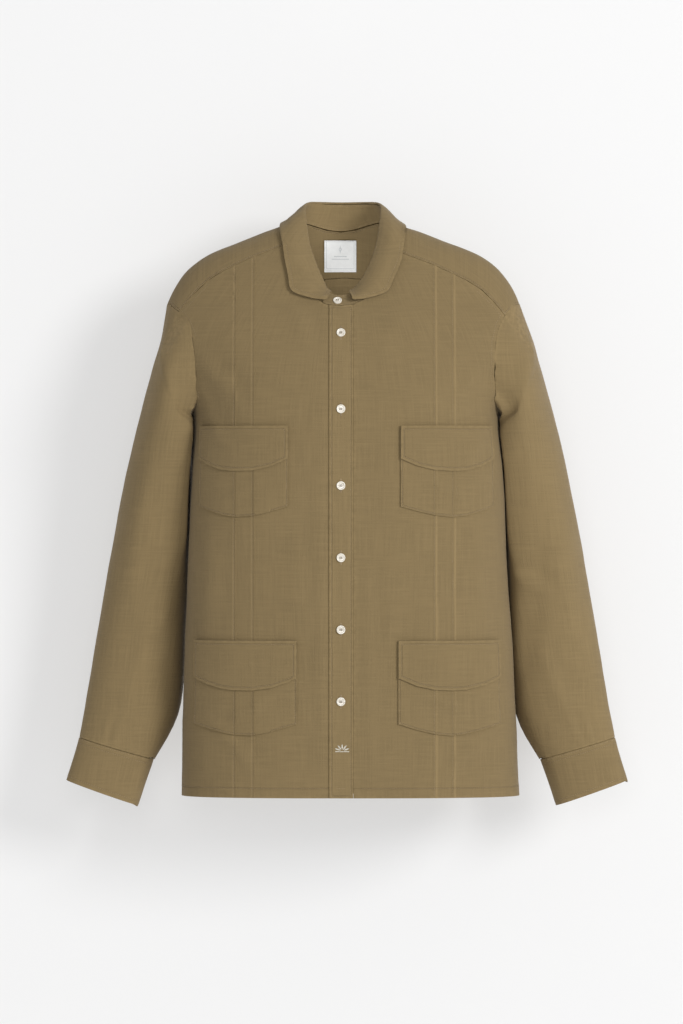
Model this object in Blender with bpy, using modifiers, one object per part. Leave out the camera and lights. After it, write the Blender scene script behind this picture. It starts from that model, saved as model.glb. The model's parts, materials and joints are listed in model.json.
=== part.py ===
"""Long-sleeved guayabera shirt, buttoned up and filled out as when it is worn.

Metres, +Z up. The wearer faces -Y, so +X is the wearer's left. The origin is the middle of the
neck at the height where the shoulder seams start, which is where the shirt hangs on its wearer.

The body of the shirt is one smooth form: level oval sections whose half width and depths come
from a table. Every panel is a grid of points on that form with a wall of cloth behind it, and
what is sewn on a panel is made from the panel's own points, moved out.
"""

import math

import bmesh
import bpy
import numpy as np
from mathutils import Matrix, Vector

# Cloth and sewing
CLOTH = 0.0012  # wall of every body panel and sleeve
PATCH_CLOTH = 0.0010  # pockets and their flaps
COLLAR_CLOTH = 0.0014  # two layers and interfacing
CUFF_CLOTH = 0.0020
SEAM_GAP = 0.0006  # between two panels that are sewn edge to edge
REST_GAP = 0.0003  # between a patch and the cloth it lies on
PATCH_LIFT = 0.0010  # a pocket over its panel, so that it clears the tucks
TUCK_HEIGHT = 0.0008
TUCK_WIDTH = 0.0042
TUCK_EDGE = 0.0005  # the free edge of a tuck, which drops steeply

# Levels
HEM_Z = -0.7535
ARMPIT_Z = -0.25
SHOULDER_TIP_Z = -0.101

# Closure
NECK_X = -0.004  # the neck and the front closure lie a little to the wearer's right
PLACKET_LEFT_EDGE = -0.0193
PLACKET_RIGHT_EDGE = 0.0120
PLACKET_PROUD = 0.0006
UNDER_SET = -0.0012  # how far back the front that lies under the placket is set
UNDER_SHORT = 0.0050  # how far below the neck seam it ends
BUTTON_LEVELS = (-0.1423, -0.2427, -0.3431, -0.4376, -0.5320, -0.6264)
BUTTON_RADIUS = 0.0057
BUTTON_THICKNESS = 0.0024

# The form of the body: level sections |x / half width|^power + |y / depth|^power = 1
TORSO_COLUMNS = ("height", "half_width", "shift", "front", "back", "power")
TORSO = (
    (-0.7535, 0.2248, 0.0086, 0.109, 0.107, 2.70),
    (-0.6200, 0.2201, 0.0066, 0.113, 0.110, 2.70),
    (-0.5480, 0.2175, 0.0060, 0.116, 0.112, 2.70),
    (-0.4416, 0.2115, 0.0048, 0.120, 0.114, 2.70),
    (-0.3220, 0.2073, 0.0046, 0.123, 0.118, 2.70),
    (-0.2500, 0.2035, 0.0032, 0.121, 0.121, 2.60),
    (-0.2100, 0.2180, 0.0020, 0.115, 0.121, 2.50),
    (-0.1700, 0.2320, 0.0010, 0.105, 0.118, 2.40),
    (-0.1350, 0.2400, 0.0000, 0.093, 0.113, 2.30),
    (-0.1117, 0.2374, -0.0007, 0.083, 0.108, 2.25),
    (-0.1010, 0.2340, -0.0007, 0.078, 0.105, 2.20),
    (-0.0798, 0.2241, -0.0007, 0.070, 0.098, 2.15),
    (-0.0585, 0.2088, -0.0010, 0.062, 0.090, 2.10),
    (-0.0372, 0.1815, -0.0010, 0.053, 0.079, 2.10),
    (-0.0160, 0.1303, -0.0010, 0.044, 0.065, 2.10),
    (-0.0055, 0.1037, -0.0015, 0.040, 0.058, 2.10),
    (0.0010, 0.0838, -0.0030, 0.037, 0.054, 2.10),
    (0.0100, 0.0640, -0.0040, 0.033, 0.050, 2.10),
)

# The armhole, round from the shoulder tip at 0 degrees to the armpit at 180: how far out it
# lies, as a share of the section's half width, on the front and on the back
ARMHOLE_COLUMNS = ("degrees", "front", "back")
ARMHOLE = (
    (0, 1.000, 1.000),
    (21, 0.957, 0.965),
    (39, 0.895, 0.910),
    (67, 0.841, 0.865),
    (93, 0.860, 0.880),
    (117, 0.904, 0.920),
    (143, 0.955, 0.963),
    (180, 1.000, 1.000),
)

# The yoke: its front seam, out from the neck, and how much lower it lies on the wearer's left
YOKE_FRONT_COLUMNS = ("out", "height")
YOKE_FRONT = (
    (0.0847, -0.0266),
    (0.1193, -0.0396),
    (0.1452, -0.0519),
    (0.1726, -0.0656),
    (0.1906, -0.0799),
    (0.2175, -0.1125),
)
YOKE_DROP = {-1: 0.0, 1: 0.0115}
YOKE_BACK_Z = -0.068
YOKE_BACK_FALL = 0.062  # how much lower the back seam lies at 0.2 m from the middle
YOKE_CORNER_DEGREES = 118.0
YOKE_ROWS = 7

# The neck seam, seen from above, is an oval round the neck
NECK_HALF_WIDTH = 0.070
NECK_CENTRE_Y = -0.010
NECK_FRONT = 0.0705
NECK_BACK = 0.0665
NECK_POWERS = (2.4, 2.0)  # in front, and behind

# The collar, round from the front at 0 degrees to the back at 180
ROLL_COLUMNS = ("degrees", "x", "y", "z")
ROLL = (
    (0, 0.0000, -0.0660, -0.0925),
    (17, 0.0160, -0.0635, -0.0875),
    (36, 0.0290, -0.0590, -0.0700),
    (51, 0.0405, -0.0495, -0.0450),
    (64, 0.0480, -0.0370, -0.0200),
    (80, 0.0512, -0.0200, 0.0050),
    (96, 0.0522, -0.0020, 0.0215),
    (110, 0.0500, 0.0150, 0.0290),
    (124, 0.0450, 0.0285, 0.0325),
    (151, 0.0255, 0.0460, 0.0335),
    (180, 0.0000, 0.0515, 0.0335),
)
ROLL_SHIFT = (-0.0050, -0.0015)  # how far to the wearer's right it lies, in front and beyond
ROLL_SHIFT_DEGREES = (12.0, 45.0)
LEAF_COLUMNS = ("degrees", "x", "z")
LEAF_FRONT = (
    (11, 0.0135, -0.0998),
    (20, 0.0300, -0.0988),
    (30, 0.0465, -0.0948),
    (42, 0.0640, -0.0870),
    (55, 0.0695, -0.0690),
    (70, 0.0770, -0.0450),
    (85, 0.0800, -0.0200),
)
LEAF_BACK_COLUMNS = ("degrees", "x", "y", "z")
LEAF_BACK = (
    (100, 0.0805, 0.0060, 0.0035),
    (120, 0.0770, 0.0340, 0.0015),
    (140, 0.0630, 0.0540, -0.0010),
    (160, 0.0350, 0.0650, -0.0040),
    (180, 0.0000, 0.0690, -0.0050),
)
LEAF_SHIFT = (-0.0055, -0.0010)
LEAF_SHIFT_DEGREES = (42.0, 70.0)
LEAF_CLEAR = 0.0046  # the leaf off the shirt
STAND_CLEAR = 0.0015  # the band's lower edge off the panels that it is sewn to
LEAF_BULGE = 0.0020
FOLD_RISE = 0.0028
FOLD_OUT = 0.0020

# A sleeve: its sections from the armhole to the cuff's end, as seen from the front by their
# outer and inner edges, with their half depth and how far back their middle lies
SLEEVE_COLUMNS = ("outer_x", "outer_z", "inner_x", "inner_z", "half_depth", "middle_y", "power")
SLEEVE = (
    (0.2474, -0.1490, 0.2100, -0.2660, 0.0680, 0.003, 2.1),
    (0.2623, -0.2000, 0.2080, -0.3050, 0.0730, 0.014, 2.2),
    (0.2846, -0.2820, 0.2070, -0.3650, 0.0720, 0.032, 2.3),
    (0.3072, -0.3880, 0.2100, -0.4500, 0.0640, 0.042, 2.3),
    (0.3259, -0.4950, 0.2140, -0.5450, 0.0550, 0.042, 2.3),
    (0.3438, -0.6010, 0.2210, -0.6320, 0.0450, 0.034, 2.2),
    (0.3572, -0.6780, 0.2567, -0.7076, 0.0310, 0.022, 2.1),
    (0.3740, -0.7345, 0.2773, -0.7687, 0.0275, 0.014, 2.1),
)
SLEEVE_SHIFT = 0.0040
CUFF_STATION = 6  # the row of SLEEVE where the cuff starts
SLEEVE_CLEAR = 0.0020  # between a sleeve and the side of the body

# Patch pockets: inner edge, top, corners and lowest point, and the flap's side and lowest point
POCKET_COLUMNS = ("name", "side", "inner", "top", "corner", "low", "flap_side", "flap_low")
POCKETS = (
    ("pocket_chest_right", -1, 0.0732, -0.2647, -0.3697, -0.3844, -0.3070, -0.3240),
    ("pocket_chest_left", 1, 0.0741, -0.2647, -0.3697, -0.3844, -0.3070, -0.3240),
    ("pocket_hip_right", -1, 0.0621, -0.5466, -0.6557, -0.6717, -0.5950, -0.6120),
    ("pocket_hip_left", 1, 0.0712, -0.5466, -0.6557, -0.6717, -0.5950, -0.6120),
)
TUCKS = (0.1197, 0.1440)  # out from the middle
STRAIGHT_TO = 0.1600  # panel columns are upright this far out, then follow the side
SIDE_SHARES = (0.36, 0.68, 0.85, 0.95, 1.0)
POCKET_SIDE_SHARE = 0.68
LEVEL_ROWS = (-0.7535, -0.6557, -0.5950, -0.5466, -0.4600, -0.3697, -0.3070, -0.2647, -0.2500)
RISING_ROWS = (0.10, 0.24, 0.40, 0.57, 0.74, 0.89, 1.0)
BACK_SHARES = (0.0, 0.26, 0.49, 0.68, 0.83, 0.93, 0.98, 1.0)
BACK_LEVELS = (-0.7535, -0.6400, -0.5200, -0.4000, -0.3200, -0.2500)

# The label inside the back of the neck
LABEL_HALF_WIDTH = 0.0215
LABEL_X = -0.0049
LABEL_TOP = -0.0125
LABEL_BOTTOM = -0.0539
LABEL_THICKNESS = 0.0010

# The sprig embroidered near the foot of the placket
SPRIG_X = -0.0025
SPRIG_Z = -0.6915
SPRIG_HALF_WIDTH = 0.0100
SPRIG_HEIGHT = 0.0085
SPRIG_BAR = 0.0016
SPRIG_LEAVES = 5
SPRIG_THICKNESS = 0.0005

# The vent placket on the back of each sleeve, above the cuff
VENT_PLACKET_HALF = 0.0110
VENT_PLACKET_RISE = 0.1100

MATERIALS = {
    "linen": ((0.243, 0.176, 0.091, 1.0), 0.85),
    "shell_button": ((0.74, 0.70, 0.62, 1.0), 0.30),
    "label": ((0.80, 0.80, 0.79, 1.0), 0.70),
    "thread": ((0.60, 0.55, 0.46, 1.0), 0.60),
}


class Curve:
    """A smooth curve through the rows of a table that never overshoots a row."""

    def __init__(self, keys, values):
        order = np.argsort(keys)
        self.keys = np.asarray(keys, float)[order]
        self.values = np.asarray(values, float).reshape(len(keys), -1)[order]
        step = np.diff(self.keys)[:, None]
        rise = np.diff(self.values, axis=0) / step
        slope = np.zeros_like(self.values)
        slope[0], slope[-1] = rise[0], rise[-1]
        before, after = rise[:-1], rise[1:]
        product = before * after
        total = np.where(product > 0, before + after, 1.0)
        slope[1:-1] = np.where(product > 0, 2 * product / total, 0.0)
        self.slope = slope

    def __call__(self, key):
        key = min(max(float(key), self.keys[0]), self.keys[-1])
        i = int(np.clip(np.searchsorted(self.keys, key) - 1, 0, len(self.keys) - 2))
        width = self.keys[i + 1] - self.keys[i]
        t = (key - self.keys[i]) / width
        a, b = self.values[i], self.values[i + 1]
        p, q = self.slope[i] * width, self.slope[i + 1] * width
        out = (
            a * (1 + 2 * t) * (1 - t) ** 2
            + p * t * (1 - t) ** 2
            + b * t * t * (3 - 2 * t)
            - q * t * t * (1 - t)
        )
        return float(out[0]) if len(out) == 1 else out


def table_curve(rows):
    """A curve by the first column of a table through all its other columns."""
    return Curve([row[0] for row in rows], [row[1:] for row in rows])


torso_section = table_curve(TORSO)
armhole_share = table_curve(ARMHOLE)
roll_line = table_curve(ROLL)
leaf_front = table_curve(LEAF_FRONT)
leaf_back = table_curve(LEAF_BACK)


def inside_out(x, y, z):
    """Below 0 inside the body's form, 0 on it and above 0 outside."""
    half, shift, front, back, power = torso_section(z)
    depth = front if y < 0 else back
    return abs((x - shift) / half) ** power + abs(y / depth) ** power - 1.0


def surface_y(x, z, front=True):
    """The front or back of the form, above the point (x, z) of the front view."""
    half, shift, front_depth, back_depth, power = torso_section(z)
    share = max(0.0, 1.0 - min(1.0, abs((x - shift) / half)) ** power)
    return -front_depth * share ** (1 / power) if front else back_depth * share ** (1 / power)


def side_x(y, z):
    """How far out from its middle the form reaches at a depth y."""
    half, _, front, back, power = torso_section(z)
    depth = front if y < 0 else back
    share = max(0.0, 1.0 - min(1.0, abs(y / depth)) ** power)
    return half * share ** (1 / power)


def top_z(x, y):
    """The height of the shoulders' surface above the point (x, y) of the plan."""
    low, high = -0.135, TORSO[-1][0]
    for _ in range(40):
        middle = (low + high) / 2
        if inside_out(x, y, middle) > 0:
            high = middle
        else:
            low = middle
    return (low + high) / 2


def normal_at(point):
    """The outward normal of the form at a point on it."""
    step = 0.0004
    out = np.zeros(3)
    for axis in range(3):
        ahead, behind = np.array(point, float), np.array(point, float)
        ahead[axis] += step
        behind[axis] -= step
        out[axis] = inside_out(*ahead) - inside_out(*behind)
    return out / np.linalg.norm(out)


def armhole_degrees(z):
    """How far round the armhole a height lies, from 0 at the tip to 180 at the armpit."""
    share = (SHOULDER_TIP_Z - z) / (SHOULDER_TIP_Z - ARMPIT_Z)
    return math.degrees(math.acos(min(1.0, max(-1.0, 1 - 2 * share))))


def armhole_z(degrees):
    """The height of the armhole at that place round it."""
    share = (1 - math.cos(math.radians(degrees))) / 2
    return SHOULDER_TIP_Z - share * (SHOULDER_TIP_Z - ARMPIT_Z)


def edge_out(z, front=True):
    """How far out from the form's middle a panel reaches: to the side seam or the armhole."""
    half = torso_section(z)[0]
    if z <= ARMPIT_Z:
        return half
    share = armhole_share(armhole_degrees(z))[0 if front else 1]
    return half * share


def armhole_point(degrees, side, front=True):
    z = armhole_z(degrees)
    half, shift = torso_section(z)[:2]
    x = shift + side * half * armhole_share(degrees)[0 if front else 1]
    return np.array((x, surface_y(x, z, front), z))


def neck_point(degrees, side):
    """The neck seam at that place round it, from the front at 0 to the back at 180."""
    a = math.radians(degrees)
    reach, power = (NECK_FRONT, NECK_POWERS[0]) if degrees < 90 else (NECK_BACK, NECK_POWERS[1])
    along = math.sin(a) ** (2 / power)
    across = math.copysign(abs(math.cos(a)) ** (2 / power), math.cos(a))
    x, y = NECK_X + side * NECK_HALF_WIDTH * along, NECK_CENTRE_Y - reach * across
    return np.array((x, y, top_z(x, y)))


def neck_front_z(x):
    """The height of the neck seam's front half above a place across the front view."""
    across = abs(x - NECK_X) / NECK_HALF_WIDTH
    power = NECK_POWERS[0]
    y = NECK_CENTRE_Y - NECK_FRONT * max(0.0, 1 - across**power) ** (1 / power)
    return top_z(x, y)


def yoke_neck_degrees(side):
    """Where round the neck the yoke's front seam starts, running on straight from its table."""
    (out_0, z_0), (out_1, z_1) = YOKE_FRONT[:2]
    low, high = 50.0, 80.0
    for _ in range(30):
        middle = (low + high) / 2
        point = neck_point(middle, side)
        line = z_0 + (side * point[0] - out_0) * (z_1 - z_0) / (out_1 - out_0) - YOKE_DROP[side]
        low, high = (middle, high) if point[2] < line else (low, middle)
    return (low + high) / 2


def yoke_seam(side):
    """The yoke's front seam as (a curve of height by x * side, its inner end, its outer end)."""
    inner = neck_point(yoke_neck_degrees(side), side)
    rows = [(side * inner[0], inner[2])]
    rows += [(out, z - YOKE_DROP[side]) for out, z in YOKE_FRONT]
    curve = table_curve(rows)
    low, high = -0.150, SHOULDER_TIP_Z - 0.001
    for _ in range(40):
        z = (low + high) / 2
        shift = torso_section(z)[1]
        if curve(edge_out(z) + side * shift) > z:
            low = z
        else:
            high = z
    end = (low + high) / 2
    return curve, side * inner[0], edge_out(end) + side * torso_section(end)[1], end


def back_seam_z(x):
    return YOKE_BACK_Z - YOKE_BACK_FALL * (x / 0.2) ** 2


def back_seam_end(side):
    """The height at which the yoke's back seam meets the armhole."""
    low, high = -0.16, SHOULDER_TIP_Z - 0.002
    for _ in range(40):
        z = (low + high) / 2
        x = torso_section(z)[1] + side * edge_out(z, False)
        if back_seam_z(x) > z:
            low = z
        else:
            high = z
    return (low + high) / 2


def grid_normals(points, closed):
    """Normals of a grid of points, by the steps to each point's neighbours."""
    down = np.gradient(points, axis=0)
    if closed:
        across = np.roll(points, -1, axis=1) - np.roll(points, 1, axis=1)
    else:
        across = np.gradient(points, axis=1)
    out = np.cross(down, across)
    return out / np.linalg.norm(out, axis=2)[:, :, None]


def make_material(name):
    """A Principled BSDF with the material's colour and roughness."""
    material = bpy.data.materials.get(name) or bpy.data.materials.new(name)
    colour, roughness = MATERIALS[name]
    material.use_nodes = True
    shader = material.node_tree.nodes["Principled BSDF"]
    shader.inputs["Base Color"].default_value = colour
    shader.inputs["Roughness"].default_value = roughness
    shader.inputs["Metallic"].default_value = 0.0
    material.diffuse_color = colour
    return material


def add_object(name, mesh, material):
    mesh.materials.append(make_material(material))
    piece = bpy.data.objects.new(name, mesh)
    shirt.objects.link(piece)
    return piece


def add_wall(name, outer, inner, closed=False, material="linen"):
    """A wall of cloth: a loft over the grid of its outer skin, made solid as far as its inner."""
    rows, columns = outer.shape[:2]
    work = bmesh.new()
    grid = [[work.verts.new(p) for p in row] for row in outer]
    for i in range(rows - 1):
        for j in range(columns if closed else columns - 1):
            k = (j + 1) % columns
            work.faces.new((grid[i][j], grid[i][k], grid[i + 1][k], grid[i + 1][j]))
    middle_i, middle_j = rows // 2, columns // 2
    work.normal_update()
    outward = Vector(outer[middle_i, middle_j] - inner[middle_i, middle_j])
    if grid[middle_i][middle_j].normal.dot(outward) < 0:
        bmesh.ops.reverse_faces(work, faces=work.faces)
    mesh = bpy.data.meshes.new(name)
    work.to_mesh(mesh)
    work.free()
    mesh.shade_smooth()
    piece = add_object(name, mesh, material)
    wall = piece.modifiers.new("cloth", "SOLIDIFY")
    wall.thickness = float(np.median(np.linalg.norm(outer - inner, axis=2)))
    wall.offset = -1.0
    wall.use_even_offset = True
    return piece


def yoke_steps():
    """Shares of the way from the neck to the armhole, closer together near the armhole."""
    even = np.linspace(0.0, 1.0, YOKE_ROWS + 1)
    return even * (1.45 - 0.45 * even)


class FrontPanel:
    """One front: a grid of upright columns and rising rows on the form, with its tucks."""

    def __init__(self, side):
        self.side = side
        self.seam, self.seam_in, self.seam_out, self.seam_end = yoke_seam(side)
        self.seam_line = self.make_seam_line()
        self.columns = self.make_columns()
        self.rows = list(LEVEL_ROWS) + [ARMPIT_Z + r for r in RISING_ROWS]
        shape = (len(self.rows), len(self.columns), 3)
        self.base = np.zeros(shape)
        self.normals = np.zeros(shape)
        for i in range(shape[0]):
            for j in range(shape[1]):
                self.base[i, j] = self.place(i, j)
                self.normals[i, j] = normal_at(self.base[i, j])
        lifts = np.array([lift for _, _, lift in self.columns])
        self.outer = self.base + self.normals * lifts[None, :, None]

    def make_seam_line(self):
        """The yoke's front seam as the points that both of its panels keep to."""
        points = []
        for t in yoke_steps():
            out = self.seam_in + t * (self.seam_out - self.seam_in)
            z = self.seam(out) if t < 1 else self.seam_end
            x = self.side * out
            points.append((x, surface_y(x, z), z))
        return np.array(points)

    def on_seam(self, out):
        """The point of the seam line that far out."""
        line = self.seam_line
        return np.array([np.interp(out, self.side * line[:, 0], line[:, k]) for k in range(3)])

    def make_columns(self):
        """(kind, value, lift) for each column: a place x * side, or a share towards the side."""
        pocket_edges = [row[2] for row in POCKETS if row[1] == self.side]
        inner = (-PLACKET_RIGHT_EDGE if self.side < 0 else PLACKET_RIGHT_EDGE) + 0.0
        if self.side > 0:
            plain = [PLACKET_RIGHT_EDGE + REST_GAP, 0.027, 0.039, 0.048]
            lifts = [0.0] * len(plain)
        else:
            # This front runs on under the placket, set back behind it and cut short at the neck.
            plain = [inner + 0.002, 0.0180, 0.0200, 0.0275, 0.037, 0.049]
            lifts = [UNDER_SET, UNDER_SET, -0.0010, 0.0, 0.0, 0.0]
        neck_edge = round(abs(self.seam_in), 5)
        plain += [neck_edge] + pocket_edges + [0.0950]
        lifts += [0.0] * (len(pocket_edges) + 2)
        found = sorted(zip(plain, lifts))
        for tuck in TUCKS:
            left = tuck - self.side * TUCK_WIDTH / 2
            right = tuck + self.side * TUCK_WIDTH / 2
            crest = right - self.side * TUCK_EDGE
            found += sorted([(left, 0.0), (crest, TUCK_HEIGHT), (right, 0.0)])
        found.append((STRAIGHT_TO, 0.0))
        columns = [("out", x, lift) for x, lift in found]
        return columns + [("share", share, 0.0) for share in SIDE_SHARES]

    def top_of(self, j):
        """The height of a column's top: at the neck, or at the yoke's seam."""
        kind, value, lift = self.columns[j]
        if kind == "share":
            value = STRAIGHT_TO + value * (self.seam_out - STRAIGHT_TO)
        if value >= self.seam_in - 1e-4:
            return self.on_seam(value)[2] - SEAM_GAP / 2
        short = UNDER_SHORT if lift == UNDER_SET else 0.0
        return neck_front_z(self.side * value) - SEAM_GAP / 2 - short

    def place(self, i, j):
        kind, value, _ = self.columns[j]
        if i < len(LEVEL_ROWS):
            z = LEVEL_ROWS[i]
        else:
            z = ARMPIT_Z + RISING_ROWS[i - len(LEVEL_ROWS)] * (self.top_of(j) - ARMPIT_Z)
        if i == len(self.rows) - 1 and (kind == "share" or value >= self.seam_in - 1e-4):
            out = value if kind == "out" else STRAIGHT_TO + value * (self.seam_out - STRAIGHT_TO)
            return self.on_seam(out) - np.array((0.0, 0.0, SEAM_GAP / 2))
        if kind == "out":
            x = self.side * value
            return np.array((x, surface_y(x, z), z))
        shift = torso_section(z)[1]
        edge = edge_out(z) + self.side * shift
        if z > self.seam_end:
            edge = self.seam_out
        out = STRAIGHT_TO + value * (edge - STRAIGHT_TO)
        x = self.side * out
        y = surface_y(x, z)
        if value == 1 and z <= ARMPIT_Z:
            y = -SEAM_GAP / 2
        return np.array((x, y, z))

    def build(self):
        name = "front_left" if self.side > 0 else "front_right"
        add_wall(name, self.outer, self.outer - self.normals * CLOTH)

    def column_of(self, kind, value):
        return next(
            j for j, c in enumerate(self.columns) if c[0] == kind and abs(c[1] - value) < 1e-6
        )

    def at(self, j, z, tucked):
        """(a point of the panel on its column j at a height, the normal there)."""
        levels = np.array(LEVEL_ROWS)
        i = int(np.clip(np.searchsorted(levels, z) - 1, 0, len(levels) - 2))
        t = (z - levels[i]) / (levels[i + 1] - levels[i])
        points = self.outer if tucked else self.base
        point = points[i, j] * (1 - t) + points[i + 1, j] * t
        normal = self.normals[i, j] * (1 - t) + self.normals[i + 1, j] * t
        return point, normal / np.linalg.norm(normal)

    def patch(self, name, inner, top, corner, low, lift, tucked, curve):
        """A patch sewn on the panel: level at the top, and dipping in the middle below."""
        first = self.column_of("out", inner)
        last = self.column_of("share", POCKET_SIDE_SHARE)
        places = [self.base[0, j, 0] for j in range(first, last + 1)]
        wide = places[-1] - places[0]
        levels = [z for z in LEVEL_ROWS if corner - 1e-6 <= z < top - 1e-6]
        skins = [[], []]
        for row in [low, *levels, top]:
            line = [[], []]
            for j in range(first, last + 1):
                t = 2 * (places[j - first] - places[0]) / wide - 1
                z = corner + (low - corner) * (1 - abs(t) ** curve) if row == low else row
                point, normal = self.at(j, z - 1e-5 if row == low else z, tucked)
                line[0].append(point + normal * (lift + PATCH_CLOTH))
                line[1].append(point + normal * lift)
            if row == low:
                # At the two corners the lowest row would meet the next one.
                for skin in line:
                    skin[0] = skin[0] - np.array((0, 0, 0.0008))
                    skin[-1] = skin[-1] - np.array((0, 0, 0.0008))
            skins[0].append(line[0])
            skins[1].append(line[1])
        add_wall(name, np.array(skins[0]), np.array(skins[1]))


class BackPanel:
    """The back, below the yoke: one grid from side seam to side seam."""

    def __init__(self):
        self.shares = [-s for s in reversed(BACK_SHARES[1:])] + list(BACK_SHARES)
        self.ends = {side: back_seam_end(side) for side in (-1, 1)}
        rows = len(BACK_LEVELS) + len(RISING_ROWS)
        self.outer = np.zeros((rows, len(self.shares), 3))
        self.normals = np.zeros_like(self.outer)
        for i in range(rows):
            for j, share in enumerate(self.shares):
                self.outer[i, j] = self.place(i, share)
                self.normals[i, j] = normal_at(self.outer[i, j])

    def seam_x(self, share):
        """Where a column meets the yoke's back seam."""
        side = 1 if share >= 0 else -1
        z = self.ends[side]
        shift = torso_section(z)[1]
        return shift + share * edge_out(z, False)

    def place(self, i, share):
        side = 1 if share >= 0 else -1
        if i < len(BACK_LEVELS):
            z = BACK_LEVELS[i]
        else:
            top = self.ends[side] if abs(share) == 1 else back_seam_z(self.seam_x(share))
            z = ARMPIT_Z + RISING_ROWS[i - len(BACK_LEVELS)] * (top - SEAM_GAP / 2 - ARMPIT_Z)
        reach = edge_out(min(z, self.ends[side]), False)
        x = torso_section(z)[1] + share * reach
        if i == len(BACK_LEVELS) + len(RISING_ROWS) - 1:
            x = self.seam_x(share)
        y = surface_y(x, z, False)
        if abs(share) == 1 and z <= ARMPIT_Z:
            y = SEAM_GAP / 2
        return np.array((x, y, z))

    def build(self):
        add_wall("back", self.outer, self.outer - self.normals * CLOTH)


class Yoke:
    """The shoulder piece: from the front seams over the shoulders to the back seam."""

    def __init__(self, fronts, back):
        columns = self.side_columns(fronts, back, -1)
        middle = []
        for share in back.shares[1:-1]:
            x = back.seam_x(share)
            z = back_seam_z(x) + SEAM_GAP / 2
            outer = np.array((x, surface_y(x, z, False), z))
            reach = abs(share)
            degrees = 180 - (180 - YOKE_CORNER_DEGREES) * reach
            middle.append((neck_point(degrees, 1 if share >= 0 else -1), outer))
        columns += middle
        columns += list(reversed(self.side_columns(fronts, back, 1)))
        self.columns = columns
        points = []
        for r, t in enumerate(yoke_steps()):
            line = []
            for k, (inner, outer) in enumerate(columns):
                if k in (0, len(columns) - 1):
                    seam = fronts[-1 if k == 0 else 1].seam_line[r]
                    line.append(seam + np.array((0.0, 0.0, SEAM_GAP / 2)))
                elif r in (0, YOKE_ROWS):
                    line.append(inner if r == 0 else outer)
                else:
                    x, y = inner[:2] * (1 - t) + outer[:2] * t
                    line.append(np.array((x, y, top_z(x, y))))
            points.append(line)
        self.outer = np.array(points)
        self.normals = np.array([[normal_at(p) for p in line] for line in points])

    def side_columns(self, fronts, back, side):
        """(inner point, outer point) pairs from the front seam round to the back corner."""
        start = yoke_neck_degrees(side)
        first = armhole_degrees(fronts[side].seam_end + SEAM_GAP / 2)
        last = armhole_degrees(back.ends[side] + SEAM_GAP / 2)
        steps = [(first * s, True) for s in (1.0, 0.66, 0.33)] + [(0.0, True)]
        steps += [(last * s, False) for s in (0.25, 0.5, 0.75, 1.0)]
        pairs = []
        for k, (degrees, front) in enumerate(steps):
            t = k / (len(steps) - 1)
            inner = neck_point(start + (YOKE_CORNER_DEGREES - start) * t, side)
            pairs.append((inner, armhole_point(degrees, side, front)))
        return pairs

    def build(self):
        add_wall("yoke", self.outer, self.outer - self.normals * CLOTH)

    def armhole_edge(self, side):
        """The yoke's edge on an armhole, from the back corner to the front seam."""
        count = 8
        edge = self.outer[-1, :count] if side < 0 else self.outer[-1, -count:][::-1]
        return edge[::-1]


def section_point(row, degrees, side):
    """A point of one section of a sleeve: 0 degrees is its outer edge and 90 its front."""
    outer_x, outer_z, inner_x, inner_z, depth, middle_y, power = row
    a = math.radians(degrees)
    c, s = math.cos(a), math.sin(a)
    along = math.copysign(abs(c) ** (2 / power), c)
    across = math.copysign(abs(s) ** (2 / power), s)
    middle = np.array(((outer_x + inner_x) / 2, (outer_z + inner_z) / 2))
    half = np.array(((outer_x - inner_x) / 2, (outer_z - inner_z) / 2))
    x, z = middle + half * along
    return np.array((SLEEVE_SHIFT + side * x, middle_y - depth * across, z))


def clear_of_body(point, side):
    """The point, moved out where it would come too near the side of the body."""
    x, y, z = point
    shift = torso_section(z)[1]
    least = side_x(y, min(z, ARMPIT_Z)) + SLEEVE_CLEAR + side * shift
    if z < ARMPIT_Z + 0.02 and side * x < least:
        x = side * least
    return np.array((x, y, z))


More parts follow.
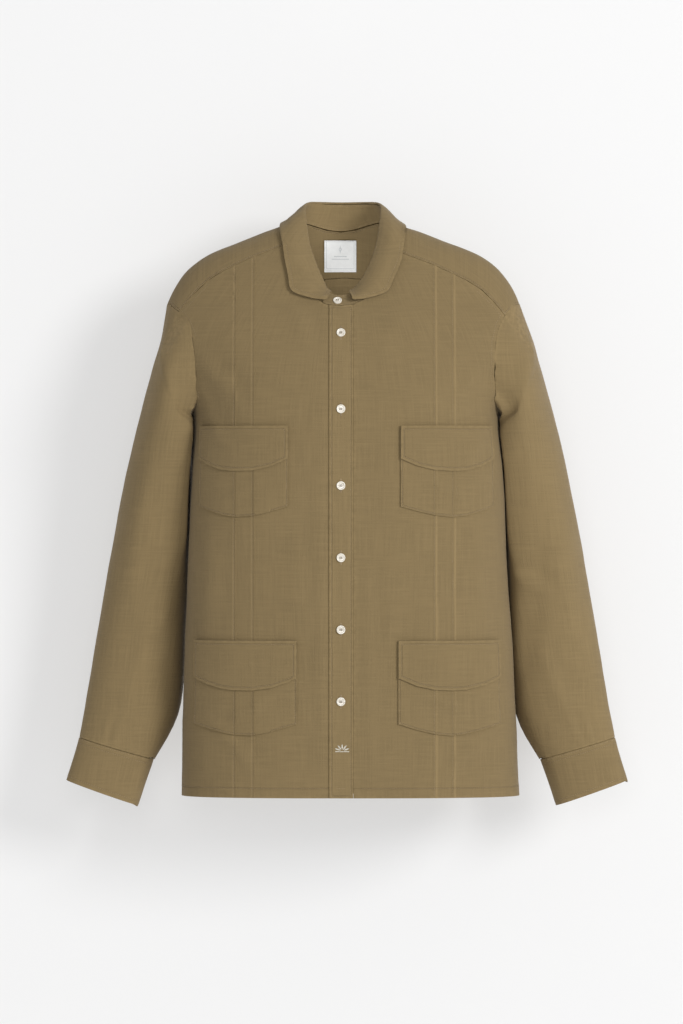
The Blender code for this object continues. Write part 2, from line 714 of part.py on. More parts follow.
class Sleeve:
    """A sleeve and its cuff: one tube from the armhole's own points to the cuff's end."""

    def __init__(self, side, front, back, yoke):
        self.side = side
        ring, degrees = self.armhole_ring(front, back, yoke)
        stations = Curve(range(len(SLEEVE)), SLEEVE)
        self.stations = stations
        self.degrees = degrees
        rows = [ring]
        for t in (0, 0.5, 1, 1.8, 2.7, 3.6, 4.4, 5.2, CUFF_STATION - 0.006):
            rows.append([clear_of_body(section_point(stations(t), d, side), side) for d in degrees])
        points = np.array(rows)
        lead = points[1] - points[0]
        lead /= np.linalg.norm(lead, axis=1)[:, None]
        outward = np.array([normal_at(p) for p in ring])
        points[0] = points[0] + (lead + outward) * (SEAM_GAP * 0.7)
        self.points = points
        self.normals = self.outward(points)

    def armhole_ring(self, front, back, yoke):
        """The armhole as the panels make it: down the front, up the back, over the yoke."""
        first = len(LEVEL_ROWS) - 1
        down = list(front.base[first:, -1][::-1])
        column = -1 if self.side > 0 else 0
        up = list(back.outer[len(BACK_LEVELS):, column])
        over = list(yoke.armhole_edge(self.side))[1:-1]
        ring = np.array(down + up + over)
        ring[len(down) - 1, 1] = 0.0
        degrees = [armhole_degrees(p[2]) for p in down]
        degrees += [360 - armhole_degrees(p[2]) for p in up]
        degrees += [
            360 - armhole_degrees(p[2]) if p[1] > 0 else armhole_degrees(p[2]) for p in over
        ]
        return ring, degrees

    def outward(self, points):
        normals = grid_normals(points, closed=True)
        away = points - points.mean(axis=1, keepdims=True)
        return normals if (normals * away).sum() > 0 else -normals

    def build(self):
        word = "left" if self.side > 0 else "right"
        add_wall(f"sleeve_{word}", self.points, self.points - self.normals * CLOTH, closed=True)
        rows = [
            [section_point(self.stations(t), d, self.side) for d in self.degrees]
            for t in (CUFF_STATION + 0.006, CUFF_STATION + 0.5, CUFF_STATION + 1)
        ]
        cuff = np.array(rows)
        normals = self.outward(cuff)
        add_wall(f"cuff_{word}", cuff, cuff - normals * CUFF_CLOTH, closed=True)
        self.add_cuff_button(word)
        self.add_vent_placket(word)

    def add_cuff_button(self, word):
        """The button that closes the cuff, on its back."""
        middle = section_point(self.stations(CUFF_STATION + 0.5), 285, self.side)
        nearby = [
            section_point(self.stations(CUFF_STATION + t), d, self.side)
            for t, d in ((0.4, 285), (0.6, 285), (0.5, 280), (0.5, 290))
        ]
        normal = np.cross(nearby[1] - nearby[0], nearby[3] - nearby[2])
        normal /= np.linalg.norm(normal)
        normal = normal if normal[1] > 0 else -normal
        add_button(f"button_cuff_{word}", middle + normal * 0.0009, normal)

    def add_vent_placket(self, word):
        """The strip that finishes the vent on the back of the sleeve."""
        skins = [[], []]
        ends = (CUFF_STATION - 0.02, CUFF_STATION - 1.0)
        for t in np.linspace(ends[0], ends[1], 6):
            line = [[], []]
            for d in (278, 285, 292):
                point = section_point(self.stations(t), d, self.side)
                away = point - section_point(self.stations(t), 105, self.side)
                away /= np.linalg.norm(away)
                line[0].append(point + away * (0.0020 + PATCH_CLOTH))
                line[1].append(point + away * 0.0020)
            skins[0].append(line[0])
            skins[1].append(line[1])
        add_wall(f"sleeve_vent_{word}", np.array(skins[0]), np.array(skins[1]))


def add_button(name, place, normal):
    """A shirt button: a turned disc with a raised rim, lying on the cloth."""
    r, t = BUTTON_RADIUS, BUTTON_THICKNESS
    profile = (
        (0.0000, 0.0009), (0.0032, 0.0009), (0.0039, t), (r - 0.0006, t),
        (r, t * 0.6), (r - 0.0010, 0.0), (0.0000, 0.0),
    )
    work = bmesh.new()
    ends = [work.verts.new((x, 0, z)) for x, z in profile]
    for a, b in zip(ends, ends[1:]):
        work.edges.new((a, b))
    mesh = bpy.data.meshes.new(name)
    work.to_mesh(mesh)
    work.free()
    button = add_object(name, mesh, "shell_button")
    screw = button.modifiers.new("turn", "SCREW")
    screw.steps = screw.render_steps = 14
    screw.use_merge_vertices = True
    screw.merge_threshold = 0.0001
    screw.use_smooth_shade = False
    z = normal / np.linalg.norm(normal)
    x = np.cross((0.0, 0.0, 1.0), z)
    x /= np.linalg.norm(x)
    y = np.cross(z, x)
    button.matrix_world = Matrix([[x[i], y[i], z[i], place[i]] for i in range(3)] + [[0, 0, 0, 1]])
    return button


def build_placket():
    """The band that carries the buttonholes, with its buttons."""
    levels = list(LEVEL_ROWS)
    columns = (PLACKET_LEFT_EDGE, NECK_X, PLACKET_RIGHT_EDGE)
    skins = [[], []]
    for i in range(len(levels) + len(RISING_ROWS)):
        line = [[], []]
        for x in columns:
            top = neck_front_z(x) - SEAM_GAP / 2
            if i < len(levels):
                z = levels[i]
            else:
                z = ARMPIT_Z + RISING_ROWS[i - len(levels)] * (top - ARMPIT_Z)
            point = np.array((x, surface_y(x, z), z))
            normal = normal_at(point)
            line[0].append(point + normal * PLACKET_PROUD)
            line[1].append(point + normal * (PLACKET_PROUD - CLOTH))
        skins[0].append(line[0])
        skins[1].append(line[1])
    add_wall("placket", np.array(skins[0]), np.array(skins[1]))
    for number, z in enumerate(BUTTON_LEVELS, start=1):
        point = np.array((NECK_X, surface_y(NECK_X, z), z))
        normal = normal_at(point)
        add_button(f"button_{number}", point + normal * (PLACKET_PROUD + 0.0006), normal)


COLLAR_STEPS = (24, 31, 38, 45, 52, 60, 70, 80, 91, 104, 120, 140, 160)


def collar_places(ends):
    """Places round the neck as (degrees, side), from the wearer's right to the left."""
    steps = tuple(ends) + COLLAR_STEPS
    return [(d, -1) for d in steps] + [(180, 1)] + [(d, 1) for d in reversed(steps)]


def shift_at(degrees, shifts, between):
    """The shift of a collar line at a place round it, easing from its first value to its second."""
    t = min(1.0, max(0.0, (degrees - between[0]) / (between[1] - between[0])))
    return shifts[0] + (shifts[1] - shifts[0]) * t * t * (3 - 2 * t)


def roll_point(degrees, side):
    x, y, z = roll_line(degrees)
    return np.array((shift_at(degrees, ROLL_SHIFT, ROLL_SHIFT_DEGREES) + side * x, y, z))


def off_form(point, least):
    """The point, moved out where it is nearer to the form than that."""
    for _ in range(4):
        normal = normal_at(point)
        step = 0.0004
        ahead = inside_out(*(point + normal * step))
        behind = inside_out(*(point - normal * step))
        away = inside_out(*point) * 2 * step / (ahead - behind)
        if away >= least:
            break
        point = point + normal * (least - away)
    return point


def over_neck_hole(point):
    """Whether a point lies inside the neck seam, seen from above."""
    front = point[1] < NECK_CENTRE_Y
    reach, power = (NECK_FRONT, NECK_POWERS[0]) if front else (NECK_BACK, NECK_POWERS[1])
    across = abs(point[0] - NECK_X) / NECK_HALF_WIDTH
    return across**power + abs((point[1] - NECK_CENTRE_Y) / reach) ** power < 1.0


def stand_frame(degrees, side):
    """(the band's lower end, its upper end, up the band, out of it) at a place on the neck."""
    low, high = neck_point(degrees, side), roll_point(degrees, side)
    up = (high - low) / np.linalg.norm(high - low)
    around = neck_point(degrees, side) - neck_point(degrees - 2, side)
    out = np.cross(around, up) * side
    out /= np.linalg.norm(out)
    away = np.array((low[0] - NECK_X, low[1] - NECK_CENTRE_Y, 0.0))
    guess = 0.7 * away / np.linalg.norm(away) + np.array((0.0, 0.0, 0.7))
    return low, high, up, out if out @ guess > 0 else -out


def build_collar_stand():
    """The band round the neck. Its left end laps over its right end in front."""
    under, over = -0.0021, 0.0
    stations = [(8.0, 1), (3.5, 1), (3.5, -1), (10.0, -1), (17.0, -1)]
    stations = [(d, s, under) for d, s in stations]
    stations += [(d, s, over) for d, s in collar_places(())]
    lap = [(17.0, 1), (10.0, 1), (3.5, 1), (3.5, -1), (10.0, -1), (17.0, -1)]
    stations += [(d, s, over) for d, s in lap]
    skins = [[], []]
    for degrees, side, lift in stations:
        low, high, up, out = stand_frame(degrees, side)
        low = low + up * (STAND_CLEAR - 1.5 * lift)
        outer = [low + (high - low) * v + out * lift for v in (0.0, 0.5, 1.0)]
        inner = [p - out * COLLAR_CLOTH for p in outer]
        inner[0] = outer[0] - normal_at(neck_point(degrees, side)) * COLLAR_CLOTH
        skins[0].append(outer)
        skins[1].append(inner)
    add_wall("collar_stand", np.array(skins[0]), np.array(skins[1]))
    low, high, up, out = stand_frame(2.7, -1)
    add_button("button_collar", low + (high - low) * 0.47 + out * 0.0008, out)


def leaf_edge(degrees, side):
    """The free edge of the collar's leaf."""
    if degrees <= LEAF_FRONT[-1][0]:
        x, z = leaf_front(degrees)
        x = shift_at(degrees, LEAF_SHIFT, LEAF_SHIFT_DEGREES) + side * x
        return off_form(np.array((x, surface_y(x, z), z)), LEAF_CLEAR)
    if degrees >= LEAF_BACK[0][0]:
        x, y, z = leaf_back(degrees)
        return np.array((LEAF_SHIFT[1] + side * x, y, z))
    t = (degrees - LEAF_FRONT[-1][0]) / (LEAF_BACK[0][0] - LEAF_FRONT[-1][0])
    return leaf_edge(LEAF_FRONT[-1][0], side) * (1 - t) + leaf_edge(LEAF_BACK[0][0], side) * t


def leaf_fall(crest, control, edge):
    """The leaf from its fold down to its edge, kept off the panels and off the band."""

    def chord(v):
        return crest * (1 - v) ** 2 + control * 2 * v * (1 - v) + edge * v * v

    low, high = 0.0, 1.0
    for _ in range(20):
        middle = (low + high) / 2
        low, high = (middle, high) if over_neck_hole(chord(middle)) else (low, middle)
    push = off_form(chord(high), LEAF_CLEAR + 0.0010) - chord(high)
    line = []
    bend = min(max(high, 0.24), 0.55)
    for v in (bend / 2, bend, (1 + bend) / 2, 1.0):
        if v < high:
            line.append(chord(v) + push * (v / high) ** 0.7)
        else:
            line.append(off_form(chord(v), LEAF_CLEAR))
    return line


def build_collar_leaf():
    """The part of the collar that is turned down over the band."""
    places = collar_places((13, 18))
    rows = []
    for degrees, side in places:
        edge = leaf_edge(degrees, side)
        _, roll, up, out = stand_frame(degrees, side)
        start = roll + up * (FOLD_RISE * 0.5) - out * 0.0004
        crest = roll + up * FOLD_RISE + out * FOLD_OUT
        control = (crest + edge) / 2 + out * LEAF_BULGE
        rows.append([start, crest, *leaf_fall(crest, control, edge)])
    points = np.array(rows)
    normals = grid_normals(points, closed=False)
    away = points - points.mean(axis=(0, 1))
    normals = normals if (normals[:, 2:] * away[:, 2:]).sum() > 0 else -normals
    half = COLLAR_CLOTH / 2
    add_wall("collar_leaf", points + normals * half, points - normals * half)


def build_label():
    """The woven label, sewn inside the yoke below the back of the neck."""
    skins = [[], []]
    for z in np.linspace(LABEL_TOP, LABEL_BOTTOM, 4):
        line = [[], []]
        for x in np.linspace(LABEL_X - LABEL_HALF_WIDTH, LABEL_X + LABEL_HALF_WIDTH, 4):
            point = np.array((x, surface_y(x, z, False), z))
            normal = normal_at(point)
            near = CLOTH + REST_GAP * 4
            line[0].append(point - normal * near)
            line[1].append(point - normal * (near + LABEL_THICKNESS))
        skins[0].append(line[0])
        skins[1].append(line[1])
    add_wall("label", np.array(skins[0]), np.array(skins[1]), material="label")


def build_sprig():
    """The small embroidered sprig near the foot of the placket: a fan of leaves on a bar."""
    outline = []
    count = 4 * SPRIG_LEAVES
    for k in range(count + 1):
        a = math.pi * (0.04 + 0.92 * k / count)
        reach = math.sin(a) * (0.75 + 0.25 * abs(math.sin(math.pi * k / 4)))
        outline.append((SPRIG_HALF_WIDTH * math.cos(a), SPRIG_HEIGHT * reach))
    skins = [[], []]
    for row in (0.0, 1.0):
        line = [[], []]
        for dx, dz in outline:
            x = SPRIG_X + dx
            z = SPRIG_Z + (dz if row else -SPRIG_BAR)
            point = np.array((x, surface_y(x, z), z))
            normal = normal_at(point)
            near = PLACKET_PROUD + 3 * REST_GAP
            line[0].append(point + normal * (near + SPRIG_THICKNESS))
            line[1].append(point + normal * near)
        skins[0].append(line[0])
        skins[1].append(line[1])
    add_wall("sprig_embroidery", np.array(skins[0]), np.array(skins[1]), material="thread")


def clear_scene():
    for thing in list(bpy.data.objects):
        bpy.data.objects.remove(thing, do_unlink=True)


def build_shirt():
    fronts = {side: FrontPanel(side) for side in (-1, 1)}
    back = BackPanel()
    yoke = Yoke(fronts, back)
    for front in fronts.values():
        front.build()
    back.build()
    yoke.build()
    for name, side, inner, top, corner, low, flap_side, flap_low in POCKETS:
        panel = fronts[side]
        panel.patch(name, inner, top, corner, low, PATCH_LIFT, True, 1.6)
        lift = TUCK_HEIGHT + PATCH_CLOTH + 1.6 * PATCH_LIFT
        flap = name.replace("pocket", "flap")
        panel.patch(flap, inner, top, flap_side, flap_low, lift, False, 2.4)
    build_placket()
    build_collar_stand()
    build_collar_leaf()
    build_label()
    build_sprig()
    for side in (-1, 1):
        Sleeve(side, fronts[side], back, yoke).build()


clear_scene()
shirt = bpy.data.collections.new("guayabera_shirt")
bpy.context.scene.collection.children.link(shirt)
build_shirt()
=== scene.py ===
"""Khaki linen guayabera shirt, long-sleeved, buttoned up and filled out as when it is worn.

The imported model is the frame. Every cloth piece is the frame's own wall of cloth, made fine,
laid back on the smooth form of the body and given its folds, puckers, stitches and weave.
Metres, +Z up; the wearer faces -Y, so +X is the wearer's left.
"""

import json
import logging
import math
from dataclasses import dataclass, field
from enum import Enum
from typing import Callable

import bmesh
import bpy
import numpy as np
from mathutils import Matrix, Vector, noise
from mathutils.bvhtree import BVHTree
from mathutils.kdtree import KDTree

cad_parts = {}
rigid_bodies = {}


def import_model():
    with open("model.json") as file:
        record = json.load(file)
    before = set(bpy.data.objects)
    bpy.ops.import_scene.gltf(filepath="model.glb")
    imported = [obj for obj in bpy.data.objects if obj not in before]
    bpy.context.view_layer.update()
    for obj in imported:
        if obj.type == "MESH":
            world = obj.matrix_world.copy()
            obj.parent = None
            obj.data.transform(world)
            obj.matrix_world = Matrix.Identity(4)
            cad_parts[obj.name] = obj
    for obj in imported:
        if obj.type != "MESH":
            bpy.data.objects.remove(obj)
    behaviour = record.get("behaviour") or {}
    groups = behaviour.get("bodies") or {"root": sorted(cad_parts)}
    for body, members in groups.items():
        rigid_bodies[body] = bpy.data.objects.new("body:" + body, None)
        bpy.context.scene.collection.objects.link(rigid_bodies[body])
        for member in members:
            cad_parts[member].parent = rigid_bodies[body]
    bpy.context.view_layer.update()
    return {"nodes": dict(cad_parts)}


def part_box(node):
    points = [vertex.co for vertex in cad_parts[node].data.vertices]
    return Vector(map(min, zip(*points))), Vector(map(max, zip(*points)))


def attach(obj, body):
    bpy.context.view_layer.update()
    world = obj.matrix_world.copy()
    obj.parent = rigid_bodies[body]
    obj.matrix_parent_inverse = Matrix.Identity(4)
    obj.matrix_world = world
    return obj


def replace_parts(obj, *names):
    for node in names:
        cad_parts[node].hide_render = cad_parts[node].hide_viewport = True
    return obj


for thing in list(bpy.data.objects):
    bpy.data.objects.remove(thing, do_unlink=True)
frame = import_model()

log = logging.getLogger("guayabera")
ROOT = "root"
FINE = 0.0052  # the longest edge of a finished cloth mesh
NECK_X, NECK_Y = -0.004, -0.010  # the middle of the neck
HEM_Z = -0.7535  # the lower edge of the body
TUCKS = (0.1197, 0.1440)  # out from the middle
TUCK_RISE = 1.45  # how much higher a tuck stands than in the frame
CLOTH_ANGLE = math.radians(52)  # edges sharper than this stay sharp in the shading
THREAD_RISE = 0.00008  # how far a stitch's middle lies above the cloth
Array = np.ndarray


class Face(Enum):
    """Which way a stretch of cloth faces."""

    FRONT = -1
    BACK = 1


class Skin(Enum):
    """The three kinds of faces on a closed wall of cloth."""

    OUTER = 0
    INNER = 1
    RIM = 2


class Hold(Enum):
    """How a sheet of cloth is held."""

    HUNG = "hung"
    LAID = "laid"
    FOLDED = "folded"


# ---------------------------------------------------------------- forms


def smooth_step(value: Array) -> Array:
    """Eases from 0 to 1. Args: value. Returns: the eased share."""
    t = np.clip(value, 0.0, 1.0)
    return t * t * (3 - 2 * t)


@dataclass(frozen=True)
class BodyForm:
    """The smooth form of the filled-out body: level ovals, widest at the shoulders and hem.

    Each row of sections is height, half width, shift, front depth, back depth and power.
    """

    sections: tuple[tuple[float, ...], ...] = (
        (-0.7535, 0.2248, 0.0086, 0.109, 0.107, 2.70),
        (-0.6200, 0.2201, 0.0066, 0.113, 0.110, 2.70),
        (-0.5480, 0.2175, 0.0060, 0.116, 0.112, 2.70),
        (-0.4416, 0.2115, 0.0048, 0.120, 0.114, 2.70),
        (-0.3220, 0.2073, 0.0046, 0.123, 0.118, 2.70),
        (-0.2500, 0.2035, 0.0032, 0.121, 0.121, 2.60),
        (-0.2100, 0.2180, 0.0020, 0.115, 0.121, 2.50),
        (-0.1700, 0.2320, 0.0010, 0.105, 0.118, 2.40),
        (-0.1350, 0.2400, 0.0000, 0.093, 0.113, 2.30),
        (-0.1117, 0.2374, -0.0007, 0.083, 0.108, 2.25),
        (-0.1010, 0.2340, -0.0007, 0.078, 0.105, 2.20),
        (-0.0798, 0.2241, -0.0007, 0.070, 0.098, 2.15),
        (-0.0585, 0.2088, -0.0010, 0.062, 0.090, 2.10),
        (-0.0372, 0.1815, -0.0010, 0.053, 0.079, 2.10),
        (-0.0160, 0.1303, -0.0010, 0.044, 0.065, 2.10),
        (-0.0055, 0.1037, -0.0015, 0.040, 0.058, 2.10),
        (0.0010, 0.0838, -0.0030, 0.037, 0.054, 2.10),
        (0.0100, 0.0640, -0.0040, 0.033, 0.050, 2.10),
    )

    def section(self, z: Array) -> Array:
        """Smoothly reads the sections. Args: z, heights. Returns: one row of sizes a height."""
        table = np.array(self.sections)
        keys, values = table[:, 0], table[:, 1:]
        step = np.diff(keys)[:, None]
        rise = np.diff(values, axis=0) / step
        slope = np.zeros_like(values)
        slope[0], slope[-1] = rise[0], rise[-1]
        product = rise[:-1] * rise[1:]
        total = np.where(product > 0, rise[:-1] + rise[1:], 1.0)
        slope[1:-1] = np.where(product > 0, 2 * product / total, 0.0)
        z = np.clip(z, keys[0], keys[-1])
        i = np.clip(np.searchsorted(keys, z) - 1, 0, len(keys) - 2)
        width = (keys[i + 1] - keys[i])[:, None]
        t = (z - keys[i])[:, None] / width
        return (
            values[i] * (1 + 2 * t) * (1 - t) ** 2
            + slope[i] * width * t * (1 - t) ** 2
            + values[i + 1] * t * t * (3 - 2 * t)
            - slope[i + 1] * width * t * t * (1 - t)
        )

    def level(self, points: Array) -> Array:
        """Below 0 inside the form and above 0 outside. Args: points. Returns: one value each."""
        half, shift, front, back, power = self.section(points[:, 2]).T
        depth = np.where(points[:, 1] < 0, front, back)
        across = np.abs((points[:, 0] - shift) / half)
        return across**power + np.abs(points[:, 1] / depth) ** power - 1.0

    def slope(self, points: Array) -> Array:
        """The level's slope. Args: points. Returns: a vector for each point."""
        step = 0.0004
        out = np.zeros_like(points)
        for axis in range(3):
            move = np.zeros(3)
            move[axis] = step
            out[:, axis] = (self.level(points + move) - self.level(points - move)) / (2 * step)
        return out

    def normals(self, points: Array) -> Array:
        """Outward directions. Args: points. Returns: a unit vector for each point."""
        out = self.slope(points)
        return out / np.linalg.norm(out, axis=1)[:, None]

    def lift(self, points: Array) -> Array:
        """How far points lie outside the form. Args: points. Returns: a distance for each."""
        return self.level(points) / np.linalg.norm(self.slope(points), axis=1)

    def onto(self, points: Array, lift: Array) -> Array:
        """Moves points to lie that far outside the form. Args: points, lift. Returns: points."""
        for _ in range(3):
            points = points + self.normals(points) * (lift - self.lift(points))[:, None]
        return points

    def girth(self, points: Array) -> Array:
        """How far round the body points lie. Args: points. Returns: a length for each."""
        half, depth, power = 0.212, 0.118, 2.7
        turn = np.linspace(-math.pi, math.pi, 721)
        c, s = np.cos(turn), np.sin(turn)
        reach = (np.abs(c / half) ** power + np.abs(s / depth) ** power) ** (-1 / power)
        x, y = reach * c, reach * s
        arc = np.concatenate([[0], np.cumsum(np.hypot(np.diff(x), np.diff(y)))])
        return np.interp(np.arctan2(points[:, 1], points[:, 0] - 0.004), turn, arc)


FORM = BodyForm()


@dataclass(frozen=True)
class Crease:
    """One soft fold of the front view: a ridge with a shallower valley beside it."""

    face: Face
    start: tuple[float, float]
    end: tuple[float, float]
    width: float
    depth: float
    bow: float = 0.0

    def height(self, points: Array, facing: Array) -> Array:
        """How far the fold stands out.

        Args:
            points: places on the cloth.
            facing: the y part of the outward direction at each.
        Returns:
            A height for each point.
        """
        run = np.array(self.end) - np.array(self.start)
        length = float(np.linalg.norm(run))
        run = run / length
        away = points[:, [0, 2]] - np.array(self.start)
        along = (away @ run) / length
        fade = np.sin(np.clip(1 - np.abs(2 * along - 1), 0, 1) * math.pi / 2)
        aside = away[:, 1] * run[0] - away[:, 0] * run[1]
        aside = aside - self.bow * np.sin(math.pi * np.clip(along, 0, 1))
        wide = self.width * (0.75 + 0.5 * fade)
        ridge = np.exp(-((aside / wide) ** 2)) - 0.55 * np.exp(-((aside / wide - 1.8) ** 2))
        shown = smooth_step(facing * self.face.value * 1.6)
        return self.depth * fade * ridge * shown


@dataclass(frozen=True)
class Drape:
    """All the folds that are listed, shared by every piece so that layers move as one."""

    creases: tuple[Crease, ...]
    broad: float = 0.0008
    fine: float = 0.00035

    def height(self, points: Array, facing: Array) -> Array:
        """The folds' height. Args: points, facing as in Crease. Returns: a height for each."""
        out = np.zeros(len(points))
        for crease in self.creases:
            out += crease.height(points, facing)
        for k, p in enumerate(points):
            at = Vector(p)
            out[k] += self.broad * noise.noise(at * 13.0) + self.fine * noise.noise(at * 38.0)
        return out


def folds(face: Face, *rows: tuple[float, ...]) -> list[Crease]:
    """Makes folds. Args: face, rows of x, z, x, z, width, depth and bow. Returns: the folds."""
    return [Crease(face, row[:2], row[2:4], *row[4:]) for row in rows]


BODY_CREASES = (
    *folds(
        Face.FRONT,
        # drag lines from the armholes and the neck
        (-0.203, -0.165, -0.128, -0.255, 0.0085, 0.0016, 0.004),
        (-0.196, -0.205, -0.150, -0.300, 0.0070, 0.0012, -0.003),
        (0.207, -0.160, 0.140, -0.240, 0.0080, 0.0014, -0.003),
        (0.195, -0.215, 0.158, -0.330, 0.0075, 0.0013, 0.004),
        (-0.078, -0.085, -0.040, -0.190, 0.0090, 0.0009, 0.003),
        (0.075, -0.095, 0.046, -0.215, 0.0100, 0.0009, -0.002),
        # upright falls beside the placket and below the chest
        (-0.036, -0.300, -0.031, -0.700, 0.0090, 0.0016, 0.002),
        (0.031, -0.410, 0.036, -0.730, 0.0085, 0.0013, -0.002),
        (-0.062, -0.390, -0.055, -0.560, 0.0120, 0.0012, -0.003),
        (0.060, -0.430, 0.052, -0.640, 0.0130, 0.0011, 0.003),
        (-0.178, -0.385, -0.186, -0.560, 0.0110, 0.0017, 0.003),
        (0.176, -0.400, 0.188, -0.585, 0.0105, 0.0016, -0.003),
        # short slanting rumples round the pockets and the hem
        (-0.190, -0.640, -0.110, -0.735, 0.0080, 0.0014, 0.004),
        (-0.085, -0.610, -0.160, -0.655, 0.0060, 0.0009, 0.002),
        (0.085, -0.600, 0.175, -0.650, 0.0065, 0.0010, -0.003),
        (0.205, -0.655, 0.120, -0.738, 0.0085, 0.0013, -0.004),
        (-0.100, -0.325, -0.165, -0.365, 0.0055, 0.0008, 0.002),
        (0.095, -0.330, 0.170, -0.362, 0.0055, 0.0008, -0.002),
    ),
    *folds(
        Face.BACK,
        # the back: drag lines below the yoke, a long fall each side, the small of the back
        (-0.180, -0.150, -0.085, -0.290, 0.0110, 0.0030, 0.006),
        (0.185, -0.145, 0.100, -0.262, 0.0100, 0.0026, -0.007),
        (-0.150, -0.235, -0.105, -0.420, 0.0120, 0.0028, -0.006),
        (0.158, -0.250, 0.118, -0.470, 0.0125, 0.0031, 0.006),
        (-0.060, -0.330, -0.072, -0.690, 0.0150, 0.0034, 0.006),
        (0.052, -0.300, 0.071, -0.735, 0.0145, 0.0030, -0.006),
        (-0.005, -0.190, 0.004, -0.520, 0.0170, 0.0022, 0.004),
        (-0.170, -0.480, -0.060, -0.545, 0.0090, 0.0020, 0.005),
        (0.175, -0.505, 0.050, -0.590, 0.0095, 0.0021, -0.006),
        (-0.195, -0.560, -0.140, -0.735, 0.0110, 0.0025, 0.003),
        (0.200, -0.590, 0.135, -0.742, 0.0105, 0.0023, -0.003),
    ),
    *folds(
        Face.FRONT,
        # the sleeves, seen from the front
        (-0.232, -0.170, -0.262, -0.300, 0.0095, 0.0020, 0.004),
        (-0.250, -0.290, -0.285, -0.500, 0.0120, 0.0026, -0.004),
        (-0.222, -0.420, -0.262, -0.455, 0.0075, 0.0018, 0.003),
        (-0.224, -0.500, -0.282, -0.545, 0.0080, 0.0020, 0.004),
        (-0.262, -0.520, -0.300, -0.668, 0.0100, 0.0022, 0.003),
        (0.235, -0.165, 0.264, -0.290, 0.0090, 0.0019, -0.004),
        (0.246, -0.385, 0.229, -0.600, 0.0105, 0.0030, -0.005),
        (0.272, -0.330, 0.305, -0.560, 0.0120, 0.0024, 0.004),
        (0.226, -0.455, 0.280, -0.490, 0.0080, 0.0019, -0.003),
        (0.264, -0.560, 0.309, -0.672, 0.0095, 0.0020, -0.003),
        # pleats let into the cuffs
        (-0.290, -0.640, -0.311, -0.700, 0.0030, 0.0013),
        (-0.304, -0.630, -0.325, -0.694, 0.0032, 0.0014),
        (0.298, -0.638, 0.318, -0.700, 0.0030, 0.0013),
        (0.312, -0.628, 0.333, -0.692, 0.0032, 0.0014),
    ),
    *folds(
        Face.BACK,
        # the sleeves' backs, where the elbows bend
        (-0.240, -0.200, -0.272, -0.345, 0.0110, 0.0028, 0.005),
        (-0.300, -0.392, -0.232, -0.430, 0.0085, 0.0026, 0.004),
        (-0.308, -0.440, -0.240, -0.492, 0.0090, 0.0030, -0.004),
        (-0.262, -0.500, -0.296, -0.640, 0.0105, 0.0026, 0.004),
        (0.244, -0.190, 0.276, -0.330, 0.0105, 0.0026, -0.005),
        (0.306, -0.380, 0.240, -0.425, 0.0090, 0.0028, -0.004),
        (0.316, -0.446, 0.250, -0.486, 0.0085, 0.0025, 0.004),
        (0.270, -0.510, 0.304, -0.650, 0.0100, 0.0026, -0.004),
    ),
)
DRAPE = Drape(BODY_CREASES)


# ---------------------------------------------------------------- finishes


